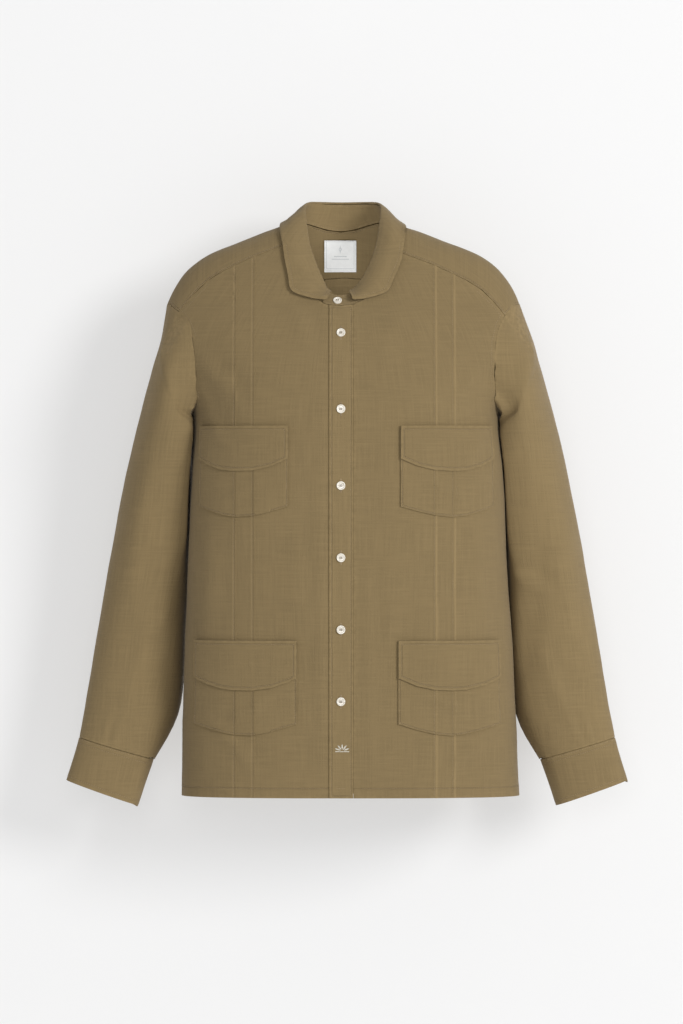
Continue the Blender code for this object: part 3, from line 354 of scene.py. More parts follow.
class NodeBench:
    """A node tree with short ways to add and join nodes."""

    def __init__(self, tree: bpy.types.NodeTree) -> None:
        """Keeps the tree. Args: tree."""
        self.tree = tree

    def add(self, kind: str, **settings: object) -> bpy.types.Node:
        """Adds a node. Args: kind, settings. Returns: the node."""
        node = self.tree.nodes.new(kind)
        for name, value in settings.items():
            setattr(node, name, value)
        return node

    def feed(self, node: bpy.types.Node, socket: str | int, value: object) -> None:
        """Joins or sets a node's input. Args: node, socket, value."""
        if isinstance(value, bpy.types.NodeSocket):
            self.tree.links.new(value, node.inputs[socket])
        else:
            node.inputs[socket].default_value = value

    def math(self, operation: str, a: object, b: object = 0.0) -> bpy.types.NodeSocket:
        """A Math node. Args: operation, a, b. Returns: its output."""
        node = self.add("ShaderNodeMath", operation=operation)
        self.feed(node, 0, a)
        self.feed(node, 1, b)
        return node.outputs[0]

    def noise(self, vector: object, scale: float, detail: float = 2.0) -> bpy.types.NodeSocket:
        """A Noise Texture. Args: vector, scale, detail. Returns: its value."""
        node = self.add("ShaderNodeTexNoise")
        self.feed(node, "Vector", vector)
        self.feed(node, "Scale", scale)
        self.feed(node, "Detail", detail)
        return node.outputs["Fac"]

    def stretched(self, vector: object, scale: tuple[float, float, float]) -> bpy.types.NodeSocket:
        """Scales a vector. Args: vector, scale. Returns: the scaled vector."""
        node = self.add("ShaderNodeMapping")
        self.feed(node, "Vector", vector)
        self.feed(node, "Scale", scale)
        return node.outputs[0]

    def ramp(self, value: object, low: float, high: float) -> bpy.types.NodeSocket:
        """Maps low to high onto 0 to 1. Args: value, low, high. Returns: the share."""
        node = self.add("ShaderNodeMapRange", interpolation_type="SMOOTHSTEP")
        self.feed(node, "Value", value)
        self.feed(node, "From Min", low)
        self.feed(node, "From Max", high)
        return node.outputs[0]

    def attribute(self, name: str) -> bpy.types.NodeSocket:
        """Reads one of a mesh's marks. Args: name. Returns: its value."""
        return self.add("ShaderNodeAttribute", attribute_name=name).outputs["Fac"]

    def bump(
        self,
        height: object,
        strength: float,
        distance: float,
        under: object = None,
        invert: bool = False,
    ) -> bpy.types.NodeSocket:
        """A Bump node.

        Args:
            height: what it raises.
            strength: how strongly.
            distance: how far.
            under: the normal that it is laid over, if any.
            invert: whether it goes inward.
        Returns:
            Its normal.
        """
        node = self.add("ShaderNodeBump", invert=invert)
        self.feed(node, "Strength", strength)
        self.feed(node, "Distance", distance)
        self.feed(node, "Height", height)
        if under is not None:
            self.feed(node, "Normal", under)
        return node.outputs[0]

    def blend(self, share: object, a: object, b: object) -> bpy.types.NodeSocket:
        """Mixes two colours. Args: share, a, b. Returns: the colour."""
        node = self.add("ShaderNodeMix", data_type="RGBA")
        self.feed(node, 0, share)
        self.feed(node, 6, a)
        self.feed(node, 7, b)
        return node.outputs[2]


def shader_group(name: str, inputs: dict[str, str], outputs: dict[str, str]) -> NodeBench:
    """Starts a node group.

    Args:
        name: the group's name.
        inputs: socket names and kinds.
        outputs: socket names and kinds.
    Returns:
        A bench on the group, with nodes named Group Input and Group Output.
    """
    group = bpy.data.node_groups.new(name, "ShaderNodeTree")
    for socket, kind in inputs.items():
        group.interface.new_socket(name=socket, in_out="INPUT", socket_type=kind)
    for socket, kind in outputs.items():
        group.interface.new_socket(name=socket, in_out="OUTPUT", socket_type=kind)
    bench = NodeBench(group)
    bench.add("NodeGroupInput", name="Group Input")
    bench.add("NodeGroupOutput", name="Group Output")
    return bench


def make_weave_group() -> bpy.types.NodeTree:
    """Plain weave: threads over and under. Returns: the group."""
    bench = shader_group(
        "plain_weave",
        {"Vector": "NodeSocketVector", "Threads": "NodeSocketFloat"},
        {"Height": "NodeSocketFloat", "Thread": "NodeSocketFloat"},
    )
    start, end = (bench.tree.nodes[n] for n in ("Group Input", "Group Output"))
    wander = bench.noise(start.outputs["Vector"], 260.0, 2.0)
    split = bench.add("ShaderNodeSeparateXYZ")
    bench.feed(split, 0, start.outputs["Vector"])
    waves = []
    for axis in (0, 1):
        turn = bench.math("MULTIPLY", split.outputs[axis], start.outputs["Threads"])
        turn = bench.math("ADD", turn, bench.math("MULTIPLY", wander, 0.9))
        waves.append(bench.math("SINE", bench.math("MULTIPLY", turn, math.pi)))
    over = bench.math("MULTIPLY", waves[0], waves[1])
    bench.feed(end, "Height", bench.math("ADD", bench.math("MULTIPLY", over, 0.5), 0.5))
    bench.feed(end, "Thread", bench.math("ABSOLUTE", over))
    return bench.tree


def make_slub_group() -> bpy.types.NodeTree:
    """Uneven thick and thin threads along both ways of the cloth. Returns: the group."""
    bench = shader_group(
        "linen_slub",
        {"Vector": "NodeSocketVector"},
        {"Across": "NodeSocketFloat", "Along": "NodeSocketFloat", "Slub": "NodeSocketFloat"},
    )
    start, end = (bench.tree.nodes[n] for n in ("Group Input", "Group Output"))
    vector = start.outputs["Vector"]
    across = bench.noise(bench.stretched(vector, (22.0, 620.0, 1.0)), 1.0, 3.0)
    along = bench.noise(bench.stretched(vector, (620.0, 18.0, 1.0)), 1.0, 3.0)
    bench.feed(end, "Across", across)
    bench.feed(end, "Along", along)
    both = bench.math("ADD", bench.ramp(across, 0.58, 0.74), bench.ramp(along, 0.58, 0.74))
    bench.feed(end, "Slub", bench.math("MINIMUM", both, 1.0))
    return bench.tree


def make_wear_group() -> bpy.types.NodeTree:
    """Lightening where edges and seams rub, broken up unevenly. Returns: the group."""
    bench = shader_group(
        "edge_wear",
        {"Vector": "NodeSocketVector", "Edge": "NodeSocketFloat"},
        {"Mask": "NodeSocketFloat"},
    )
    start, end = (bench.tree.nodes[n] for n in ("Group Input", "Group Output"))
    broken = bench.ramp(bench.noise(start.outputs["Vector"], 190.0, 3.0), 0.35, 0.70)
    bench.feed(end, "Mask", bench.math("MULTIPLY", start.outputs["Edge"], broken))
    return bench.tree


def make_fibre_group() -> bpy.types.NodeTree:
    """The twist of a sewing thread. Returns: the group."""
    bench = shader_group(
        "thread_twist",
        {"Vector": "NodeSocketVector", "Scale": "NodeSocketFloat"},
        {"Height": "NodeSocketFloat"},
    )
    start, end = (bench.tree.nodes[n] for n in ("Group Input", "Group Output"))
    wave = bench.add("ShaderNodeTexWave", bands_direction="DIAGONAL")
    bench.feed(wave, "Vector", start.outputs["Vector"])
    bench.feed(wave, "Scale", start.outputs["Scale"])
    bench.feed(wave, "Distortion", 1.5)
    bench.feed(end, "Height", wave.outputs["Fac"])
    return bench.tree


class Workroom:
    """The shader groups, built once."""

    def __init__(self) -> None:
        """Builds each group."""
        self.weave = make_weave_group()
        self.slub = make_slub_group()
        self.wear = make_wear_group()
        self.fibre = make_fibre_group()

    @staticmethod
    def place(bench: NodeBench, group: bpy.types.NodeTree, **inputs: object) -> bpy.types.Node:
        """Puts a group in a material. Args: bench, group, inputs. Returns: the node."""
        node = bench.add("ShaderNodeGroup", node_tree=group)
        for name, value in inputs.items():
            bench.feed(node, name, value)
        return node


ROOM = Workroom()
Colour = tuple[float, float, float, float]
Started = tuple[bpy.types.Material, NodeBench, bpy.types.Node]


def start_material(name: str, roughness: float) -> Started:
    """A material with its Principled BSDF. Args: name, roughness. Returns: them and a bench."""
    material = bpy.data.materials.new(name)
    material.use_nodes = True
    shader = material.node_tree.nodes["Principled BSDF"]
    shader.inputs["Roughness"].default_value = roughness
    return material, NodeBench(material.node_tree), shader


@dataclass(frozen=True)
class LinenFinish:
    """Matte plain-weave linen."""

    name: str
    tone: float = 1.0
    colour: tuple[float, float, float] = (0.198, 0.1420, 0.0670)
    channel: float = 0.0024
    # sewn: how strongly the seam groove is pressed in and darkened with painted shade.
    sewn: float = 1.0
    threads: float = 1500.0
    roughness: float = 0.88

    def shade(self, by: float) -> Colour:
        """The cloth's colour made lighter or darker. Args: by. Returns: the colour."""
        return (*(c * self.tone * by for c in self.colour), 1.0)

    def tint(
        self, bench: NodeBench, colour: object, mask: object, share: float, by: float
    ) -> bpy.types.NodeSocket:
        """Lightens or darkens a colour under a mask.

        Args:
            bench: the material's bench.
            colour: what is tinted.
            mask: where.
            share: how much of the tint shows.
            by: the tint, as in shade.
        Returns:
            The colour.
        """
        return bench.blend(bench.math("MULTIPLY", mask, share), colour, self.shade(by))

    def make(self) -> bpy.types.Material:
        """Returns: the material."""
        material, bench, shader = start_material(self.name, self.roughness)
        cloth = bench.add("ShaderNodeUVMap", uv_map="cloth").outputs["UV"]
        place = bench.add("ShaderNodeTexCoord").outputs["Object"]
        edge = bench.attribute("edge")
        weave = ROOM.place(bench, ROOM.weave, Vector=cloth, Threads=self.threads)
        slub = ROOM.place(bench, ROOM.slub, Vector=cloth)
        wear = ROOM.place(bench, ROOM.wear, Vector=place, Edge=edge)
        cloudy = bench.ramp(bench.noise(place, 9.0, 3.0), 0.30, 0.70)
        colour = bench.blend(cloudy, self.shade(0.965), self.shade(1.030))
        streak = bench.math("ADD", slub.outputs["Across"], slub.outputs["Along"])
        colour = self.tint(bench, colour, bench.ramp(streak, 0.85, 1.25), 0.60, 1.12)
        streak = bench.math("SUBTRACT", 1.0, bench.ramp(streak, 0.72, 1.0))
        gaps = bench.math("SUBTRACT", 1.0, weave.outputs["Thread"])
        # Painted shade: a thin line along each row of stitching is darkened where the seam groove
        # sinks in; the same mask also presses the groove in through the bump.
        aside = bench.math("SUBTRACT", bench.attribute("apart"), self.channel)
        aside = bench.math("ABSOLUTE", aside)
        groove = bench.math("SUBTRACT", 1.0, bench.ramp(aside, 0.0003, 0.0013))
        # Painted highlight along each tuck's crest and painted shadow along its foot.
        tuck_highlight = bench.ramp(bench.attribute("tuck_highlight"), 0.30, 0.90)
        tuck_shadow = bench.ramp(bench.attribute("tuck_shadow"), 0.35, 0.95)
        for mask, share, by in (
            (streak, 0.20, 0.86),
            (slub.outputs["Slub"], 0.20, 1.20),
            (gaps, 0.16, 0.60),
            (wear.outputs["Mask"], 0.55, 1.30),
            (groove, 0.30 * self.sewn, 0.72),
            (tuck_highlight, 0.75, 1.42),
            (tuck_shadow, 0.65, 0.58),
        ):
            colour = self.tint(bench, colour, mask, share, by)
        bench.feed(shader, "Base Color", colour)
        rough = bench.math("MULTIPLY", slub.outputs["Slub"], -0.06)
        bench.feed(shader, "Roughness", bench.math("ADD", rough, self.roughness))
        shader.inputs["Sheen Weight"].default_value = 0.06
        shader.inputs["Sheen Roughness"].default_value = 0.55
        shader.inputs["Specular IOR Level"].default_value = 0.18
        threads = bench.bump(weave.outputs["Height"], 0.30, 0.00018)
        thick = bench.bump(streak, 0.45, 0.0004, threads)
        sewn = bench.bump(groove, 0.8 * self.sewn, 0.0006, thick, invert=True)
        bench.feed(shader, "Normal", sewn)
        return material


@dataclass(frozen=True)
class ThreadFinish:
    """Spun thread, for stitches and embroidery."""

    name: str
    colour: Colour
    roughness: float = 0.62
    twist: float = 900.0

    def make(self) -> bpy.types.Material:
        """Returns: the material."""
        material, bench, shader = start_material(self.name, self.roughness)
        place = bench.add("ShaderNodeTexCoord").outputs["Object"]
        twist = ROOM.place(bench, ROOM.fibre, Vector=place, Scale=self.twist)
        dark = (*(c * 0.74 for c in self.colour[:3]), 1.0)
        share = bench.ramp(twist.outputs["Height"], 0.0, 0.8)
        colour = bench.blend(share, dark, self.colour)
        light = (*(min(1.0, c * 1.12) for c in self.colour[:3]), 1.0)
        uneven = bench.ramp(bench.noise(place, 60.0), 0.45, 0.75)
        bench.feed(shader, "Base Color", bench.blend(uneven, colour, light))
        bench.feed(shader, "Normal", bench.bump(twist.outputs["Height"], 0.4, 0.0001))
        return material


@dataclass(frozen=True)
class ShellFinish:
    """Polished pearl-white shell, faintly clouded."""

    name: str
    pearl: Colour = (0.78, 0.74, 0.66, 1.0)
    cloud: Colour = (0.60, 0.55, 0.46, 1.0)
    sheen: Colour = (0.86, 0.86, 0.84, 1.0)

    def make(self) -> bpy.types.Material:
        """Returns: the material."""
        material, bench, shader = start_material(self.name, 0.24)
        place = bench.add("ShaderNodeTexCoord").outputs["Object"]
        layers = bench.noise(bench.stretched(place, (1.0, 1.0, 2.6)), 210.0, 4.0)
        colour = bench.blend(bench.ramp(layers, 0.35, 0.68), self.cloud, self.pearl)
        glint = bench.ramp(bench.noise(place, 520.0, 2.0), 0.55, 0.80)
        colour = bench.blend(bench.math("MULTIPLY", glint, 0.6), colour, self.sheen)
        bench.feed(shader, "Base Color", colour)
        rough = bench.math("MULTIPLY", layers, 0.16)
        bench.feed(shader, "Roughness", bench.math("ADD", rough, 0.16))
        shader.inputs["Coat Weight"].default_value = 0.5
        shader.inputs["Coat Roughness"].default_value = 0.12
        return material


@dataclass(frozen=True)
class LabelFinish:
    """White satin-woven label: a plain border, two plain bars and a diamond, and no lettering.

    Each bar is its low edge, high edge and half length. diamond and line are as far out from
    its middle as the diamond's outline and the line through it reach.
    """

    name: str
    ground: Colour = (0.87, 0.88, 0.87, 1.0)
    border: Colour = (0.42, 0.45, 0.47, 1.0)
    gap: Colour = (0.40, 0.40, 0.40, 1.0)
    frame: tuple[float, float] = (0.0188, 0.0180)
    bars: tuple[tuple[float, ...], ...] = ((-0.0022, -0.0010, 0.0085), (-0.0056, -0.0046, 0.0115))
    middle: float = 0.0075
    diamond: tuple[float, float] = (0.0012, 0.0022)
    line: tuple[float, float] = (0.0003, 0.0050)

    @staticmethod
    def band(bench: NodeBench, value: object, low: float, high: float) -> bpy.types.NodeSocket:
        """1 between low and high. Args: bench, value, low, high. Returns: the mask."""
        above = bench.math("GREATER_THAN", value, low)
        return bench.math("MULTIPLY", above, bench.math("LESS_THAN", value, high))

    def make(self) -> bpy.types.Material:
        """Returns: the material."""
        material, bench, shader = start_material(self.name, 0.62)
        cloth = bench.add("ShaderNodeUVMap", uv_map="cloth").outputs["UV"]
        split = bench.add("ShaderNodeSeparateXYZ")
        bench.feed(split, 0, cloth)
        u, v = split.outputs[0], split.outputs[1]
        du = bench.math("ABSOLUTE", u)
        dv = bench.math("ABSOLUTE", v)
        past_u = bench.math("SUBTRACT", du, self.frame[0])
        past_v = bench.math("SUBTRACT", dv, self.frame[1])
        mask = self.band(bench, bench.math("MAXIMUM", past_u, past_v), -0.0007, 0.0)
        for low, high, half in self.bars:
            bar = self.band(bench, v, low, high)
            bar = bench.math("MULTIPLY", bar, bench.math("LESS_THAN", du, half))
            mask = bench.math("MAXIMUM", mask, bar)
        rise = bench.math("ABSOLUTE", bench.math("SUBTRACT", v, self.middle))
        diamond = bench.math("ADD", du, bench.math("MULTIPLY", rise, 0.62))
        mask = bench.math("MAXIMUM", mask, self.band(bench, diamond, *self.diamond))
        line = bench.math("LESS_THAN", du, self.line[0])
        line = bench.math("MULTIPLY", line, bench.math("LESS_THAN", rise, self.line[1]))
        mask = bench.math("MAXIMUM", mask, line)
        weave = ROOM.place(bench, ROOM.weave, Vector=cloth, Threads=3200.0)
        cloudy = bench.ramp(bench.noise(cloth, 120.0, 3.0), 0.35, 0.7)
        ground = bench.blend(cloudy, (*(c * 0.95 for c in self.ground[:3]), 1.0), self.ground)
        colour = bench.blend(bench.math("MULTIPLY", mask, 0.62), ground, self.border)
        gaps = bench.math("SUBTRACT", 1.0, weave.outputs["Thread"])
        colour = bench.blend(bench.math("MULTIPLY", gaps, 0.10), colour, self.gap)
        bench.feed(shader, "Base Color", colour)
        raised = bench.math("ADD", weave.outputs["Height"], mask)
        bench.feed(shader, "Normal", bench.bump(raised, 0.35, 0.0002))
        return material


@dataclass(frozen=True)
class PaperFinish:
    """The plain pale ground and backdrop, seen only from their front."""

    name: str
    colour: Colour = (0.38, 0.38, 0.38, 1.0)
    glow: float = 0.47

    def make(self) -> bpy.types.Material:
        """Returns: the material."""
        material, bench, shader = start_material(self.name, 0.95)
        shader.inputs["Emission Color"].default_value = (1.0, 1.0, 1.0, 1.0)
        shader.inputs["Emission Strength"].default_value = self.glow
        place = bench.add("ShaderNodeTexCoord").outputs["Object"]
        grain = bench.ramp(bench.noise(place, 3.0, 2.0), 0.2, 0.8)
        pale = (*(c * 0.995 for c in self.colour[:3]), 1.0)
        bench.feed(shader, "Base Color", bench.blend(grain, pale, self.colour))
        shader.inputs["Specular IOR Level"].default_value = 0.0
        seen = bench.add("ShaderNodeNewGeometry").outputs["Backfacing"]
        clear = bench.add("ShaderNodeBsdfTransparent")
        mix = bench.add("ShaderNodeMixShader")
        shadow = bench.add("ShaderNodeLightPath").outputs["Is Shadow Ray"]
        bench.feed(mix, 0, bench.math("MAXIMUM", seen, shadow))
        bench.feed(mix, 1, shader.outputs[0])
        bench.feed(mix, 2, clear.outputs[0])
        bench.feed(bench.tree.nodes["Material Output"], "Surface", mix.outputs[0])
        return material


# ---------------------------------------------------------------- cloth


def deselect_all() -> None:
    """Leaves nothing selected and no edit mode."""
    if bpy.context.object and bpy.context.object.mode != "OBJECT":
        bpy.ops.object.mode_set(mode="OBJECT")
    bpy.ops.object.select_all(action="DESELECT")


def pick(piece: bpy.types.Object) -> None:
    """Makes a piece the only selected and active one. Args: piece."""
    deselect_all()
    piece.select_set(True)
    bpy.context.view_layer.objects.active = piece


def new_piece(name: str, data: bpy.types.ID) -> bpy.types.Object:
    """Puts a mesh, a lamp or a camera in the scene. Args: name, data. Returns: its object."""
    piece = bpy.data.objects.new(name, data)
    bpy.context.scene.collection.objects.link(piece)
    return piece


def flattened(way: Vector, normal: Vector) -> Vector:
    """Lays a direction flat on a skin. Args: way, normal. Returns: a unit vector."""
    return (way - normal * way.dot(normal)).normalized()


def from_front(tree: BVHTree, x: float, z: float) -> tuple:
    """Looks level from the front. Args: tree, x, z. Returns: the place met, its normal, more."""
    return tree.ray_cast(Vector((x, -0.4, z)), Vector((0, 1, 0)), 0.6)


def body_outward(points: Array) -> Array:
    """Outward directions on the body. Args: points. Returns: unit vectors."""
    return FORM.normals(points)


@dataclass
class TubeOutward:
    """Outward directions from the middle line of a tube, such as a sleeve."""

    heights: Array
    middles: Array

    @classmethod
    def through(cls, points: Array) -> "TubeOutward":
        """Finds the middle line. Args: points of the tube. Returns: the directions."""
        low, high = points[:, 2].min(), points[:, 2].max()
        edges = np.linspace(low, high, 9)
        rows = []
        for a, b in zip(edges, edges[1:]):
            near = points[(points[:, 2] >= a - 0.01) & (points[:, 2] <= b + 0.01)]
            middle = (near[:, :2].min(axis=0) + near[:, :2].max(axis=0)) / 2
            rows.append(((a + b) / 2, *middle))
        table = np.array(rows)
        return cls(table[:, 0], table[:, 1:])

    def offset(self, points: Array) -> Array:
        """Level steps from the middle line. Args: points. Returns: one (x, y) each."""
        x = np.interp(points[:, 2], self.heights, self.middles[:, 0])
        y = np.interp(points[:, 2], self.heights, self.middles[:, 1])
        return points[:, :2] - np.stack([x, y], axis=1)

    def __call__(self, points: Array) -> Array:
        """Outward directions. Args: points. Returns: unit vectors."""
        out = np.zeros_like(points)
        out[:, :2] = self.offset(points)
        return out / np.maximum(np.linalg.norm(out, axis=1), 1e-9)[:, None]


def neck_outward(points: Array) -> Array:
    """Outward directions round the neck. Args: points. Returns: unit vectors."""
    out = points - np.array((NECK_X, NECK_Y, 0.0))
    out[:, 2] = 0.02
    return out / np.linalg.norm(out, axis=1)[:, None]


Outward = Callable[[Array], Array]
Edge = list[tuple[Vector, Vector]]  # places and the ways out of the cloth there
Rule = Callable[[Vector, Vector], bool]


@dataclass(frozen=True)
class Snug:
    """Where a sleeve's inner side is brought close to the body, and how close.

    In near, bottom and top the first number is where the effect ends and the second is the
    length over which it fades. inward does the same for the way that the cloth faces.
    """

    wall: float = 0.0012
    gap: float = 0.0013
    most: float = 0.014
    near: tuple[float, float] = (0.034, 0.016)
    bottom: tuple[float, float] = (-0.50, 0.10)
    top: tuple[float, float] = (-0.2440, 0.012)
    inward: tuple[float, float] = (1.6, 0.55)

    def share(self, lift: Array, at: Array, out: Array) -> Array:
        """How far the effect holds.

        Args:
            lift: how far each place is from the body.
            at: places.
            out: outward directions.
        Returns:
            A share for each place.
        """
        share = smooth_step((self.near[0] - lift) / self.near[1])
        share *= smooth_step((at[:, 2] - self.bottom[0]) / self.bottom[1])
        share *= smooth_step((self.top[0] - at[:, 2]) / self.top[1])
        facing = -out[:, 0] * np.sign(at[:, 0])
        return share * smooth_step(facing * self.inward[0] + self.inward[1])


SNUG = Snug()


@dataclass
class ClothPiece:
    """One sewn piece of the shirt, made from the frame's wall of cloth.

    node is the frame's node, flat the size that it was cut to, rests_on what it hangs from or
    lies on. on_form says that its skins lie at a known distance from the body's form.
    """

    node: str
    finish: bpy.types.Material
    flat: tuple[float, float]
    area: float
    held: Hold
    rests_on: tuple[str, ...] = ()
    on_form: bool = True
    outward: Outward | None = None
    slot: str = "linen"
    pucker: float = 0.00022
    rounds: int = 2
    folds: float = 1.0
    planar: bool = False
    settle: tuple[int, float] = (5, 0.9)
    piece: bpy.types.Object = field(init=False)
    labels: Array = field(init=False)

    def build(self) -> bpy.types.Object:
        """Returns: its object."""
        work = self.copy_wall()
        self.piece = self.refine(work)
        self.fold()
        self.dress()
        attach(self.piece, ROOT)
        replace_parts(self.piece, self.node)
        count = len(self.piece.data.polygons)
        log.info("%s: %d faces", self.piece.name, count)
        return self.piece

    def declare(self) -> None:
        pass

    def direction(self, points: Array) -> Array:
        """Outward directions for this piece. Args: points. Returns: unit vectors."""
        return (self.outward or body_outward)(points)

    def copy_wall(self) -> bmesh.types.BMesh:
        """Copies the node, merged, in quads, with each face labelled. Returns: the mesh."""
        source = frame["nodes"][self.node].data
        work = bmesh.new()
        work.from_mesh(source)
        bmesh.ops.remove_doubles(work, verts=work.verts, dist=2e-6)
        bmesh.ops.dissolve_degenerate(work, edges=work.edges, dist=1e-6)
        bmesh.ops.join_triangles(
            work, faces=work.faces, angle_face_threshold=0.75, angle_shape_threshold=3.1
        )
        if self.outward is None and not self.on_form:
            self.outward = TubeOutward.through(np.array([v.co for v in work.verts]))
        self.label(work)
        return work

    def label(self, work: bmesh.types.BMesh) -> None:
        """Marks the faces as outer, inner or rim. Args: work."""
        work.faces.ensure_lookup_table()
        tree = BVHTree.FromBMesh(work)
        depth = []
        for face in work.faces:
            at = face.calc_center_median() - face.normal * 2e-5
            hit = tree.ray_cast(at, -face.normal, 0.05)
            depth.append(hit[3] if hit[0] is not None else 0.05)
        wall = float(np.median(depth))
        rim = {f.index for f, d in zip(work.faces, depth) if d > 2.4 * wall}
        found: dict[int, int] = {}
        for face in work.faces:
            if face.index in rim or face.index in found:
                continue
            group, queue = len(set(found.values())), [face]
            found[face.index] = group
            while queue:
                for edge in queue.pop().edges:
                    for other in edge.link_faces:
                        if other.index not in rim and other.index not in found:
                            found[other.index] = group
                            queue.append(other)
        centres = np.array([f.calc_center_median() for f in work.faces])
        facing = (np.array([f.normal for f in work.faces]) * self.direction(centres)).sum(axis=1)
        size = np.array([f.calc_area() for f in work.faces])
        for group in set(found.values()):
            members = [i for i, g in found.items() if g == group]
            outer = (facing[members] * size[members]).sum() > 0
            for i in members:
                work.faces[i].material_index = (Skin.OUTER if outer else Skin.INNER).value
        for i in rim:
            work.faces[i].material_index = Skin.RIM.value

    def refine(self, work: bmesh.types.BMesh) -> bpy.types.Object:
        """Makes the wall fine: rounded off the form, laid back on it where it lies on it.

        Args:
            work: the labelled wall.
        Returns:
            The piece's object.
        """
        mesh = bpy.data.meshes.new(self.node)
        name = f"cloth_{self.node}"
        if not self.on_form:
            sharp = work.edges.layers.float.new("crease_edge")
            for edge in work.edges:
                marks = {f.material_index for f in edge.link_faces}
                edge[sharp] = 1.0 if len(marks) > 1 else 0.0
            work.to_mesh(mesh)
            piece = new_piece(name, mesh)
            pick(piece)
            curve = piece.modifiers.new("curve", "SUBSURF")
            curve.levels = curve.render_levels = self.rounds
            self.meet_points(piece, *self.settle)
            bpy.ops.object.modifier_apply(modifier=curve.name)
            work.free()
            work = bmesh.new()
            work.from_mesh(piece.data)
            self.split(work)
            work.to_mesh(piece.data)
        else:
            lift = work.verts.layers.float.new("lift")
            at = np.array([v.co for v in work.verts])
            for vert, value in zip(work.verts, FORM.lift(at)):
                vert[lift] = value
            self.split(work)
            at = np.array([v.co for v in work.verts])
            lifts = np.array([v[lift] for v in work.verts])
            if self.node.startswith(("front", "pocket")):
                lifts += 0.0008 * (TUCK_RISE - 1) * self.on_tucks(at)
            at = FORM.onto(at, lifts)
            for vert, place in zip(work.verts, at):
                vert.co = place
            work.to_mesh(mesh)
            piece = new_piece(name, mesh)
        work.free()
        return piece

    @staticmethod
    def meet_points(piece: bpy.types.Object, rounds: int, share: float) -> None:
        """Moves a cage until its rounded surface nearly passes through its points.

        Args:
            piece: the cage, with its modifier.
            rounds: how many times it is moved.
            share: how much of what is missing it moves each time.
        """
        count = len(piece.data.vertices)
        wanted = np.array([v.co for v in piece.data.vertices])
        cage = wanted.copy()
        for _ in range(rounds):
            piece.data.vertices.foreach_set("co", cage.ravel())
            piece.data.update()
            bpy.context.view_layer.update()
            rounded = piece.evaluated_get(bpy.context.evaluated_depsgraph_get())
            made = rounded.to_mesh()
            got = np.array([made.vertices[k].co for k in range(count)])
            rounded.to_mesh_clear()
            cage = cage + share * (wanted - got)
        piece.data.vertices.foreach_set("co", cage.ravel())
        piece.data.update()

    @staticmethod
    def split(work: bmesh.types.BMesh) -> None:
        """Halves long edges until none is longer than FINE. Args: work."""
        for _ in range(7):
            long = [e for e in work.edges if e.calc_length() > FINE]
            if not long:
                break
            bmesh.ops.subdivide_edges(work, edges=long, cuts=1, use_grid_fill=True)

    def fold(self) -> None:
        """Moves the piece's points to its folds and seam puckers, and marks its edges."""
        mesh = self.piece.data
        at = np.empty(len(mesh.vertices) * 3)
        mesh.vertices.foreach_get("co", at)
        at = at.reshape(-1, 3)
        self.labels = np.empty(len(mesh.polygons), dtype=int)
        mesh.polygons.foreach_get("material_index", self.labels)
        rim = sorted(
            {v for p in mesh.polygons if p.material_index == Skin.RIM.value for v in p.vertices}
        )
        near = KDTree(len(rim))
        for k, v in enumerate(rim):
            near.insert(at[v], k)
        near.balance()
        apart = np.array([near.find(p)[2] for p in at])
        rubbed = np.exp(-apart / 0.0030)
        out = self.direction(at)
        height = DRAPE.height(at, out[:, 1]) * self.folds
        seam = np.exp(-(((apart - 0.005) / 0.006) ** 2))
        ripple = np.array([abs(noise.noise(Vector(p) * 95.0)) for p in at])
        height += self.pucker * seam * ripple * 2.0
        if self.node.startswith("sleeve_") and "vent" not in self.node:
            at = at + self.snug(at, out)
        at = at + out * height[:, None]
        mesh.vertices.foreach_set("co", at.ravel())
        if self.node.startswith(("front", "back")):
            apart = at[:, 2] - HEM_Z
        elif self.node.startswith("sleeve_") and "vent" not in self.node:
            apart = np.where(at[:, 2] < -0.5, apart, 0.02)
        marks = [("edge", rubbed), ("apart", apart)]
        # Lines along the tucks: a painted highlight on each crest and a painted shadow at each
        # foot.
        if self.node.startswith(("front", "pocket")):
            marks += [("tuck_highlight", self.on_tucks(at)), ("tuck_shadow", self.on_tucks(at, -0.0008, 0.0018))]
        for name, values in marks:
            made = mesh.attributes.new(name, "FLOAT", "POINT")
            made.data.foreach_set("value", values.astype(np.float32))
        self.map_cloth(at, out)
        mesh.update()

    @staticmethod
    def on_tucks(at: Array, out: float = 0.0016, reach: float = 0.0022) -> Array:
        """Marks a line along each tuck.

        Args:
            at: places.
            out: how far out from the tuck's middle the line lies.
            reach: where the mark has faded.
        Returns:
            1 on the line and less beside it, for each place.
        """
        lines = np.array([side * (t + out) for side in (-1, 1) for t in TUCKS])
        near = np.abs(at[:, :1] - lines[None, :]).min(axis=1)
        return np.clip(1.0 - near / reach, 0.0, 1.0)

    def snug(self, at: Array, out: Array) -> Array:
        """Brings a sleeve's inner side close to the body below the armpit.

        Args:
            at: places on the sleeve.
            out: outward directions.
        Returns:
            A step for each place.
        """
        inner = np.zeros(len(at))
        for p, mark in zip(self.piece.data.polygons, self.labels):
            if mark == Skin.INNER.value:
                inner[list(p.vertices)] = 1.0
        lift = FORM.lift(at) - inner * SNUG.wall
        step = np.clip(lift - SNUG.gap, 0.0, SNUG.most) * SNUG.share(lift, at, out)
        away = FORM.normals(at)
        away[:, 2] = 0.0
        return -away * step[:, None]

